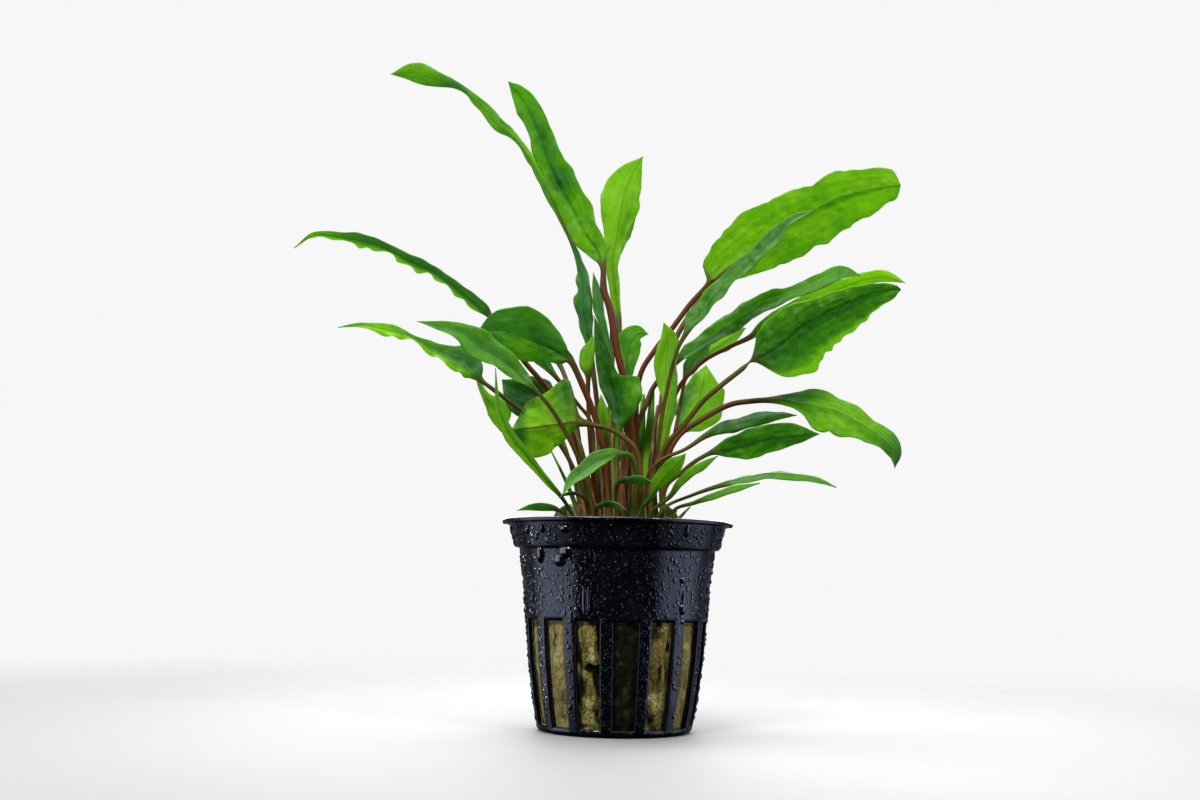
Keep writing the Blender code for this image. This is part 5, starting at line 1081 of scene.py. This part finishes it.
def buildPot():
    # The wall, and the beads of each kind on it, which have a material of their own.
    spread = beadSpread
    turn, *sizes = np.array(spread["large"], float).T
    wall = buildPotWall()
    parts = [wall, blobField(np.radians(turn), *sizes, 7, 20),
             blobField(*scatterOnPot(spread["middling"], spread["middlingSize"], spread["seed"]), 2, 6),
             blobField(*scatterOnPot(spread["fine"], spread["fineSize"], spread["seed"] + 1), 1, 5),
             blobField(*rimBeads(), 3, 7, potShape["rimRadius"] - 0.42)]
    vertices, quads, triangles = joinParts(parts)
    mesh = buildMesh("potWall", vertices, quads, triangles)
    mesh.set_sharp_from_angle(angle=np.radians(50))
    onBead = [np.arange(len(whole)) >= len(own) for whole, own in zip((quads, triangles), wall[1:])]
    pot = addPiece("net_pot", mesh, [wetBlackPlastic(), beadedPlastic()], "pot")
    mesh.polygons.foreach_set("material_index", np.concatenate(onBead).astype(np.int32))
    return pot


potFinish = {
    "black": ((0.0010, 0.0011, 0.0022), (0.0022, 0.0025, 0.0048)),  # plain, and where a film lies on it
    "roughness": (0.09, 0.16), "runs": (-0.03, 0.04), "specular": 0.40,
    "beadBlack": (0.0012, 0.0013, 0.0024), "beadRoughness": (0.04, 0.08), "beadSpecular": 0.9,
}


def wetBlackPlastic():
    # Near black, with a faint film, fine moulding texture and a wet gloss.
    plastic = Recipe(bpy.data.materials.new("wetBlackPlastic"))
    place = plastic.objectPlace()
    film = plastic.noise(place, 0.22, 3.0)
    runs = plastic.streaks(place, (0.8, 0.8, 0.05))
    colour = plastic.mix(plastic.step(film, 0.35, 0.75), *potFinish["black"])
    roughness = plastic.math("ADD", plastic.step(film, 0.3, 0.7, *potFinish["roughness"]),
                             plastic.step(runs, 0.4, 0.7, *potFinish["runs"]))
    height = plastic.math("MULTIPLY_ADD", plastic.noise(place, 5.0), 0.15, plastic.times(runs, 0.4))
    dots = plastic.step(plastic.cells(place, 2.3), 0.16, 0.42, 1.0, 0.0)
    dots = plastic.times(dots, plastic.step(plastic.noise(place, 0.55), 0.50, 0.60))
    normal = plastic.bump(dots, 0.00009, 0.6, plastic.bump(height, 0.00006, 0.4))
    return plastic.finish(plastic.principled(colour, roughness, potFinish["specular"], normal))


def beadedPlastic():
    # The same black where it stands out in beads, smoother and shinier.
    bead = Recipe(bpy.data.materials.new("beadedPlastic"))
    roughness = bead.step(bead.noise(bead.objectPlace(), 0.22), 0.3, 0.7, *potFinish["beadRoughness"])
    return bead.finish(bead.principled(potFinish["beadBlack"], roughness, potFinish["beadSpecular"]))


# The rock wool: a felted plug that shows in the slots.
woolShape = {
    "top": 41.6, "bottom": 1.5, "clear": 0.18, "lump": 0.55, "fibreRelief": 0.16, "bulge": 0.35, "pit": 0.6,
    "columns": 330, "rows": 120, "strands": 2900, "seed": 5,
    "strandLength": (1.0, 4.2), "strandRadius": (0.035, 0.075),
    # From the slot right of the front rib round to the left: 1 is soaked black, 0 plain, below 0 pale.
    "slotDamp": (1.9, 0.35, -0.6, 0.1, 0.3, 0.0, 0.2, 0.5, 0.1, 0.3, 0.0, 0.2, -0.4, -1.0, 0.5),
    # Torn hollows, and folds where the depth is below 0: angle from the front, height, half width in
    # degrees, half height, depth. The depth also darkens each hollow with painted shade and makes each
    # fold paler with painted light.
    "tears": ((-11.2, 21.8, 1.8, 3.8, 2.4), (-12.4, 13.4, 2.2, 1.8, 2.2), (-17.6, 15.2, 2.8, 0.9, 1.8),
              (-15.6, 20.2, 2.2, 3.0, -0.9), (-14.8, 16.9, 2.2, 1.0, -0.8), (-15.0, 9.6, 2.0, 2.2, -0.5),
              (50.0, 14.0, 1.4, 5.0, 1.0), (57.0, 8.0, 1.8, 3.0, 0.8), (36.0, 21.0, 1.5, 2.0, 0.5),
              (53.0, 12.0, 1.0, 3.0, -0.5), (-42.0, 3.4, 4.0, 1.2, 0.8), (28.0, 3.6, 3.5, 1.6, 0.5),
              (30.0, 15.0, 1.0, 2.2, 0.5), (6.0, 20.0, 4.0, 4.0, 0.5), (2.0, 8.0, 2.0, 3.0, -0.4)),
}


def tearShares(angles, heights):
    # For each tear, a bell round the pot times a bell up it, and the tear's depth. Angles in degrees.
    for at, height, wide, tall, deep in woolShape["tears"]:
        yield bell((angles - at + 180) % 360 - 180, wide) * bell(heights - height, tall), deep


def woolRadius(angles, heights):
    # The inside of the wall less a little, bulging in the middle of each slot, sunk by lumps and
    # furrowed by fibres that lean one way and the other.
    w, p = woolShape, potShape
    inSlot = easeStep(ribHalf + 0.01, ribHalf + 0.07, fromRib(angles))
    inSlot = inSlot * easeStep(p["slotBottom"], p["slotBottom"] + 1.5, heights)
    inSlot = inSlot * (1 - easeStep(p["slotTop"] - 1.2, p["slotTop"], heights))
    turns = angles / (2 * np.pi)
    lumps = softNoise(turns * 24, heights / 6, w["seed"], 24) * 0.6
    lumps = lumps + softNoise(turns * 60, heights / 2.5, 6, 60) * 0.4
    fibres = softNoise(turns * 200 + heights * 0.5, heights / 1.1, 8, 200)
    fibres += softNoise(turns * 150 - heights * 0.6, heights / 0.9, 9, 150)
    pits = easeStep(0.5, 0.9, softNoise(turns * 50 + 5, heights / 2.4, 14, 50))
    inner = wallRadius(heights) - p["wall"] - w["clear"]
    for share, deep in tearShares(np.degrees(angles), heights):
        inner = inner - deep * share
    return inner + (w["bulge"] * inSlot - w["lump"] * (0.5 + 0.5 * lumps)
                    - w["fibreRelief"] * (0.5 - 0.25 * fibres) - w["pit"] * pits)


def buildWool(wool):
    # A plug of rings round the axis, closed above and below, with loose strands lying on it.
    w = woolShape
    angles = 2 * np.pi * np.arange(w["columns"]) / w["columns"]
    grid, up = np.meshgrid(angles, np.linspace(w["bottom"], w["top"], w["rows"]))
    radius = woolRadius(grid, up)
    rows = [aroundAxis(radius, grid, up)]
    top = w["top"] + 0.25 * softNoise(angles / (2 * np.pi) * 40, angles * 0, 31, 40)
    for share in (0.97, 0.9, 0.78, 0.64, 0.5, 0.3):
        r = radius[-1] * share
        lumps = softNoise(r * np.sin(angles) / 1.6 + 30, r * np.cos(angles) / 1.6 + 30, 33)
        rows.append(aroundAxis(r, angles, top + 0.35 * lumps - 0.3)[None])
    mesh = buildMesh("woolPlug", *joinParts([closedTube(np.concatenate(rows)), woolStrands()]))
    corners = np.zeros(len(mesh.vertices) * 3, np.float32)
    mesh.vertices.foreach_get("co", corners)
    storeValues(mesh, "dampAndShade", woolDampAndShade(*corners.reshape(-1, 3).T / millimetre))
    return addPiece("felted_wool", mesh, [wool], "rock_wool")


def woolDampAndShade(x, y, z):
    # How dark and damp the wool is: a value for each slot, with the middle one at the front almost
    # black, plus painted shade that darkens the torn hollows and painted light that makes the folds paler.
    angle = np.degrees(np.arctan2(x, -y))
    slot = ((angle - potShape["firstRibAngle"]) % 360 / (360 / potShape["slotCount"])).astype(int)
    dampAndShade = np.array(woolShape["slotDamp"])[slot]
    for share, deep in tearShares(angle, z):
        # Painted shade in the torn hollows, and painted light on the folds.
        dampAndShade = dampAndShade + share * np.clip(deep, -0.8, 2.5)
    return dampAndShade


def strandField(starts, ways, bends, radii, rings, sides, flatness=1.0):
    # Thin tubes, one a row: start + way t + bend t squared, thinning to the ends. Upright ones can be
    # flattened from front to back.
    t = np.linspace(0, 1, rings)[None, :, None]
    middle = starts[:, None, :] + ways[:, None, :] * t + bends[:, None, :] * t ** 2
    forward = unit(ways[:, None, :] + 2 * bends[:, None, :] * t)
    helper = np.where(np.abs(forward[..., 2:]) > 0.9, np.array((1.0, 0, 0)), np.array((0, 0, 1.0)))
    first = unit(np.cross(forward, helper))
    second = np.cross(forward, first)
    spin = 2 * np.pi * np.arange(sides) / sides
    thin = radii[:, None] * (0.35 + 0.65 * np.sin(np.pi * np.linspace(0, 1, rings)))
    ring = (flatness * first[:, :, None, :] * np.cos(spin)[None, None, :, None]
            + second[:, :, None, :] * np.sin(spin)[None, None, :, None])
    body = (middle[:, :, None, :] + ring * thin[:, :, None, None]).reshape(len(starts), -1, 3)
    return tubeField(np.concatenate([body, middle[:, :1], middle[:, -1:]], axis=1), rings, sides)


def woolStrands():
    # Loose fibres on the wool in the slots, lying every way.
    w, p = woolShape, potShape
    chance = np.random.default_rng(w["seed"] + 40)
    count = w["strands"]
    slot = chance.integers(0, p["slotCount"], count)
    centre = firstRib + (slot + 0.5) * slotPitch
    angle = centre + np.radians(chance.uniform(-6.6, 6.6, count))
    height = chance.uniform(p["slotBottom"] + 0.6, p["slotTop"] - 2.5, count)
    length = chance.uniform(*w["strandLength"], count)
    lean = chance.normal(0, 1.1, count)
    endAngle = np.clip(angle + np.sin(lean) * length / 20.0, centre - 0.118, centre + 0.118)
    endHeight = np.clip(height + length * np.cos(lean), p["slotBottom"] + 0.4, p["slotTop"] - 0.5)

    def on(turn, up, out):
        return aroundAxis(woolRadius(turn, up) + out, turn, up)

    start, end = on(angle, height, 0.02), on(endAngle, endHeight, 0.02)
    half = on((angle + endAngle) / 2, (height + endHeight) / 2, 0.10)
    bend = 2 * (start + end) - 4 * half
    return strandField(start, end - start - bend, bend, chance.uniform(*w["strandRadius"], count), 5, 3)


woolFinish = {
    "fibres": [(0.30, (0.062, 0.050, 0.011)), (0.5, (0.225, 0.198, 0.054)), (0.66, (0.520, 0.490, 0.200))],
    "pale": (0.46, 0.42, 0.19), "rusty": (0.15, 0.070, 0.012), "speck": (0.015, 0.012, 0.005),
    "darkestDampAndShade": ((0.003, 0.003, 0.001), (0.024, 0.019, 0.005)), "roughness": 0.85, "specular": 0.10,
}


def feltedWool():
    # Olive yellow fibres with brown and nearly black damp stains, and painted shade in the torn hollows.
    f = woolFinish
    wool = Recipe(bpy.data.materials.new("feltedWool"))
    place = wool.objectPlace()
    stain = wool.streaks(place, (0.3, 0.3, 0.12), detail=3.0, roughness=0.6)
    leaning = wool.streaks(place, (2.6, 2.6, 1.7), (0.0, 0.7, 0.0), 3.0, 0.65)
    crossing = wool.streaks(place, (1.5, 1.5, 2.6), (0.3, -0.9, 0.0), 3.0, 0.65)
    fibres = wool.times(wool.math("ADD", leaning, crossing), 0.5)
    specks = wool.noise(place, 2.4)
    dampAndShade = wool.add("Attribute", {}, attribute_name="dampAndShade").outputs["Fac"]
    clumps = wool.math("SUBTRACT", wool.noise(place, 0.42), 0.5)
    fibres = wool.math("MULTIPLY_ADD", clumps, 0.5, fibres)
    colour = wool.ramp(fibres, f["fibres"])
    # Paler where the slot is pale, and with painted light on the folds.
    colour = wool.mix(wool.step(dampAndShade, -1.0, 0.0, 0.6, 0.0), colour, f["pale"])
    rusty = wool.mix(0.6, colour, f["rusty"])
    colour = wool.mix(wool.step(wool.noise(place, 0.13), 0.45, 0.62, 0.0, 0.7), colour, rusty)
    # Dark where stained and where damp, and with painted shade in the torn hollows.
    dark = wool.math("ADD", stain, wool.times(wool.math("MAXIMUM", dampAndShade, 0.0), 0.30))
    darkestDampAndShade = wool.mix(wool.step(clumps, 0.02, 0.16), *f["darkestDampAndShade"])
    colour = wool.mix(wool.step(dark, 0.56, 0.74, 0.0, 0.98), colour, darkestDampAndShade)
    colour = wool.mix(wool.step(specks, 0.66, 0.74, 0.0, 0.8), colour, f["speck"])
    normal = wool.bump(wool.math("MULTIPLY_ADD", specks, 0.5, fibres), 0.0004, 0.9)
    return wool.finish(wool.principled(colour, f["roughness"], f["specular"], normal))


# The crown that the stalks rise from, with the sheaths of old leaves.
crownShape = {
    "radius": 12.6, "foot": 40.9, "top": crownTop + 0.5, "rings": 22, "sides": 96,
    "sheaths": 46, "sheathLength": (3.0, 9.0), "sheathRadius": (0.35, 0.85), "seed": 12,
    # Old stalks that show between the leaves: foot on the crown, picture point at the top, thickness.
    "oldStalks": [((1.9, 3.6), (2.3, 4.4, 70.0), 0.8), ((2.9, 3.2), (3.1, 4.2, 66.0), 0.8),
                  ((-3.4, 3.4), (-3.9, 4.4, 68.0), 0.8), ((-0.2, 4.6), (-0.4, 5.4, 70.0), 0.7),
                  ((6.0, 4.0), (6.5, 5.0, 61.5), 0.7), ((-6.8, 3.6), (-8.6, 5.0, 66.0), 0.6),
                  ((-0.6, -4.6), (-0.8, -5.0, 75.2), 0.45), ((2.6, 1.8), (3.6, 3.0, 71.5), 0.6),
                  ((6.4, -2.6), (10.2, -3.4, 76.4), 0.7), ((-7.4, 0.6), (-13.0, 1.2, 62.0), 0.35),
                  ((-2.6, 1.0), (-4.6, 2.2, 74.0), 0.45), ((-3.4, -6.2), (-7.4, -8.6, 62.0), 0.5),
                  ((1.6, -6.0), (1.4, -8.0, 63.0), 0.7), ((9.4, 4.2), (15.4, 6.0, 76.0), 0.5),
                  ((4.0, -4.6), (5.6, -6.2, 66.0), 0.6), ((-0.8, 2.6), (-1.8, 3.0, 68.0), 0.55)],
    # Green bases of leaves: foot, picture point at the top, half width. They are as flat as the last
    # number says, where 1 is round.
    "leafBases": [((6.2, 2.6), (9.1, 3.4, 80.5), 1.25), ((4.6, 3.4), (6.9, 4.4, 79.0), 1.2),
                  ((-3.0, 4.0), (-5.4, 5.0, 66.0), 0.9), ((-4.6, 1.4), (-9.6, 2.2, 70.5), 1.2),
                  ((-6.6, -1.0), (-15.0, -0.6, 66.0), 0.45)],
    "baseFlatness": 0.25,
}


def buildCrown(bark, green):
    # A low dome, rough all over, with pointed sheaths that lean outwards, old stalks and leaf bases.
    c = crownShape
    angles = 2 * np.pi * np.arange(c["sides"]) / c["sides"]
    lift = np.linspace(0, 1, c["rings"])[:, None]
    radius = c["radius"] * np.cos(lift * np.pi / 2 * 0.97) ** 0.55
    height = c["foot"] + (c["top"] - c["foot"]) * np.sin(lift * np.pi / 2)
    turns, level = np.broadcast_arrays(angles / (2 * np.pi), lift)
    rough = softNoise(turns * 36, level * 9, c["seed"], 36) * 0.35
    rough += softNoise(turns * 72, level * 16, c["seed"] + 1, 72) * 0.2
    parts = [closedTube(aroundAxis(radius + rough, angles, height + 0.5 * rough)), crownSheaths(),
             uprightStrands(c["oldStalks"]), uprightStrands(c["leafBases"], c["baseFlatness"])]
    mesh = buildMesh("crownMound", *joinParts(parts))
    isGreen = [np.repeat([0, 0, 0, 1], [len(part[kind]) for part in parts]) for kind in (1, 2)]
    mesh.polygons.foreach_set("material_index", np.concatenate(isGreen).astype(np.int32))
    return addPiece("crown_mound", mesh, [bark, green], "crown")


def crownSheaths():
    # Short pointed remains of old leaves, as tapering strands that lean out from the middle.
    c = crownShape
    chance = np.random.default_rng(c["seed"])
    count = c["sheaths"]
    turn = chance.uniform(0, 2 * np.pi, count)
    r = chance.uniform(1.5, c["radius"] - 1.5, count)
    outward = aroundAxis(1, turn, 0)
    length = chance.uniform(*c["sheathLength"], count)
    lean = chance.uniform(0.3, 0.9, count) * r / c["radius"]
    way = (outward * lean[:, None] + np.array((0, 0, 1.0))) * length[:, None]
    bend = outward * (chance.uniform(-0.1, 0.25, count) * length)[:, None]
    thick = chance.uniform(*c["sheathRadius"], count)
    return strandField(aroundAxis(r, turn, crownTop - 1.2), way, bend, thick, 8, 8)


def uprightStrands(rows, flatness=1.0):
    # Bare stalks or flat leaf bases from the crown to a point of the picture, slightly bowed.
    feet = np.array([(*foot, crownTop - 1.2) for foot, _, _ in rows])
    tips = inSpace(np.array([tip for _, tip, _ in rows], float))
    bend = (tips - feet) * (0.25, 0.25, 0)
    thick = np.array([thick for _, _, thick in rows])
    return strandField(feet, tips - feet - bend, bend, thick, 24, 12, flatness)


crownFinish = {
    "bark": [(0.3, (0.016, 0.008, 0.003)), (0.5, (0.095, 0.046, 0.013)), (0.72, (0.400, 0.250, 0.080))],
    "reddish": (0.230, 0.040, 0.010), "olive": (0.120, 0.150, 0.018), "barkSpecular": 0.35,
    "green": [(0.3, (0.020, 0.110, 0.003)), (0.7, (0.100, 0.300, 0.006))],
    "yellower": (0.210, 0.420, 0.008), "greenSpecular": 0.3,
}


def crownBark():
    # Brown remains of sheaths, paler and redder in streaks that run upwards.
    f = crownFinish
    bark = Recipe(bpy.data.materials.new("crownBark"))
    place = bark.objectPlace()
    streak = bark.streaks(place, (1.6, 1.6, 0.18), detail=3.0)
    patch = bark.streaks(place, (0.42, 0.42, 0.05))
    colour = bark.ramp(streak, f["bark"])
    colour = bark.mix(bark.step(patch, 0.56, 0.64, 0.0, 0.75), colour, f["reddish"])
    colour = bark.mix(bark.step(patch, 0.36, 0.46, 0.75, 0.0), colour, f["olive"])
    relief = bark.bump(streak, 0.0004, 0.8)
    return bark.finish(bark.principled(colour, 0.5, f["barkSpecular"], relief))


def leafBaseGreen():
    # Green with streaks that run upwards, yellower in patches.
    f = crownFinish
    green = Recipe(bpy.data.materials.new("leafBaseGreen"))
    place = green.objectPlace()
    streak = green.streaks(place, (1.2, 1.2, 0.1), detail=3.0)
    patch = green.streaks(place, (0.3, 0.3, 0.06))
    colour = green.ramp(streak, f["green"])
    colour = green.mix(green.step(patch, 0.45, 0.62, 0.0, 0.8), colour, f["yellower"])
    relief = green.bump(streak, 0.0002, 0.6)
    return green.finish(green.principled(colour, 0.4, f["greenSpecular"], relief))


# The studio: a pale floor, soft light from both sides, above and behind, and the camera.
studio = {
    "floorColour": (0.38, 0.38, 0.38), "floorFarPaintedShade": (0.29, 0.29, 0.29),
    "floorRadius": 1.6, "floorLevel": -0.02,
    "shadeFrom": 0.04, "shadeTo": 0.22, "fadeFrom": 0.09, "fadeTo": 0.34,
    "background": (0.93, 0.93, 0.93),
    # The air is dark in front, where the camera stands, and light at the sides and behind. What shines
    # in glossy surfaces is glossLeft and glossRight at the sides, glossBack behind, glossAbove
    # overhead and glossBelow underneath.
    "airFront": (0.02, 0.02, 0.025), "airSides": (0.38, 0.39, 0.42), "airFrom": -0.68, "airTo": -0.46,
    "glossLeft": (1.75, 1.92, 2.65), "glossRight": (1.28, 1.46, 2.15), "glossBack": (0.10, 0.11, 0.14),
    "glossBelow": (0.01, 0.01, 0.01), "glossAbove": (1.25, 1.35, 1.65), "leftFrom": -0.3, "leftTo": 0.3,
    "backFrom": 0.05, "backTo": 0.60, "belowFrom": -0.50, "belowTo": -0.16,
    "aboveFrom": 0.35, "aboveTo": 0.60,
    # name: place, point it looks at, width, height, power in watts, colour
    "lights": {
        "topSoftbox": ((-0.10, 0.05, 0.75), (0, 0, 0.10), 0.46, 0.36, 5.0, (1.0, 1.0, 0.98)),
        "backSoftbox": ((0.10, 0.70, 0.40), (0, 0, 0.10), 0.80, 0.60, 8.0, (1.0, 1.0, 0.97)),
        "frontLeftSoftbox": ((-0.32, -0.62, 0.60), (0, 0, 0.10), 0.18, 0.18, 5.0, (1.0, 0.99, 0.96)),
        "frontRightSoftbox": ((0.45, -0.50, 0.55), (0, 0, 0.10), 0.12, 0.12, 2.4, (1.0, 0.99, 0.96)),
    },
}


def buildFloor():
    # A wide pale disc of rings that fades into the background, painted darker farther out as painted
    # shade against the stronger light there.
    rings, sides, level = 24, 96, studio["floorLevel"]
    radius = np.linspace(0.02, 1, rings)[:, None] * studio["floorRadius"] / millimetre
    turn = 2 * np.pi * np.arange(sides) / sides
    points = np.stack(np.broadcast_arrays(radius * np.cos(turn), -radius * np.sin(turn), level), axis=-1)
    vertices = np.vstack([points.reshape(-1, 3), (0, 0, level)])
    mesh = buildMesh("floor", vertices, tubeFaces(rings, sides), fanFaces(0, sides, rings * sides, True))
    floor = bpy.data.objects.new("floor", mesh)
    bpy.context.scene.collection.objects.link(floor)
    pale = Recipe(bpy.data.materials.new("paleFloor"))
    place = pale.add("TexCoord", {}).outputs["Object"]
    distance = pale.add("VectorMath", {0: place}, operation="LENGTH").outputs["Value"]
    # Painted shade: the floor's colour darkens away from the pot, where the light from behind is stronger.
    shade = pale.step(distance, studio["shadeFrom"], studio["shadeTo"])
    solid = pale.principled(pale.mix(shade, studio["floorColour"], studio["floorFarPaintedShade"]), 0.7, 0.2)
    clear = pale.add("BsdfTransparent", {}).outputs[0]
    fade = pale.step(distance, studio["fadeFrom"], studio["fadeTo"])
    mesh.materials.append(pale.finish(pale.mixShaders(fade, solid, clear)))
    floor.visible_glossy = False


def lightStudio():
    # Soft lamps from the table, and air whose light depends on the way: x right, y away, z up.
    scene = bpy.context.scene
    for name, (place, target, width, height, power, colour) in studio["lights"].items():
        lamp = bpy.data.lights.new(name, "AREA")
        lamp.shape = "RECTANGLE"
        lamp.size, lamp.size_y = width, height
        lamp.energy, lamp.color = power, colour
        holder = bpy.data.objects.new(name, lamp)
        holder.location = place
        holder.rotation_euler = (Vector(target) - Vector(place)).to_track_quat("-Z", "Y").to_euler()
        holder.visible_camera = False
        scene.collection.objects.link(holder)
    air = Recipe(bpy.data.worlds.new("studioAir"))
    path = air.add("LightPath", {}).outputs
    x, y, z = air.add("SeparateXYZ", {0: air.add("TexCoord", {}).outputs["Generated"]}).outputs

    def towards(axis, name):
        return air.step(axis, studio[name + "From"], studio[name + "To"])

    above = towards(z, "above")
    shining = air.mix(towards(x, "left"), studio["glossLeft"], studio["glossRight"])
    shining = air.mix(towards(y, "back"), shining, studio["glossBack"])
    shining = air.mix(towards(z, "below"), studio["glossBelow"], shining)
    shining = air.mix(above, shining, studio["glossAbove"])
    sides = air.mix(path["Is Glossy Ray"], studio["airSides"], shining)
    light = air.mix(air.math("MAXIMUM", towards(y, "air"), above), studio["airFront"], sides)
    around, seen = (air.add("Background", {"Color": colour}).outputs[0]
                    for colour in (light, studio["background"]))
    scene.world = air.finish(air.mixShaders(path["Is Camera Ray"], around, seen))
    scene.view_settings.view_transform = "Standard"


def placeCamera():
    # The camera looks up by its rise and is rolled a little, as the photograph's was.
    view = cameraView
    rise, roll = np.radians(view["rise"]), np.radians(view["roll"])
    flat, upright = np.array((1.0, 0, 0)), np.array((0, -np.sin(rise), np.cos(rise)))
    right = flat * np.cos(roll) + upright * np.sin(roll)
    up = upright * np.cos(roll) - flat * np.sin(roll)
    turned = np.stack([right, up, np.cross(right, up)], axis=1).tolist()
    rows = [(*axis, start * millimetre) for axis, start in zip(turned, view["eye"])]
    lens = bpy.data.cameras.new("studioCamera")
    lens.sensor_fit = "HORIZONTAL"
    lens.sensor_width, lens.lens = view["sensor"], view["lens"]
    lens.clip_start, lens.clip_end = 0.005, 20.0
    camera = bpy.data.objects.new("studioCamera", lens)
    camera.matrix_world = Matrix([*rows, (0, 0, 0, 1)])
    bpy.context.scene.collection.objects.link(camera)
    bpy.context.scene.camera = camera


skin = leafSkin()
faces = 0
for number, leaf in enumerate(leafTable):
    piece = buildLeaf({**leafDefaults, **leaf}, number, skin)
    faces += len(piece.data.polygons)
print("leaves:", len(leafTable), "with", faces, "faces")
pot = buildPot()
print("pot:", len(pot.data.polygons), "faces")
wool = buildWool(feltedWool())
print("rock wool:", len(wool.data.polygons), "faces")
crown = buildCrown(crownBark(), leafBaseGreen())
print("crown:", len(crown.data.polygons), "faces")
buildFloor()
lightStudio()
placeCamera()
print("studio ready")
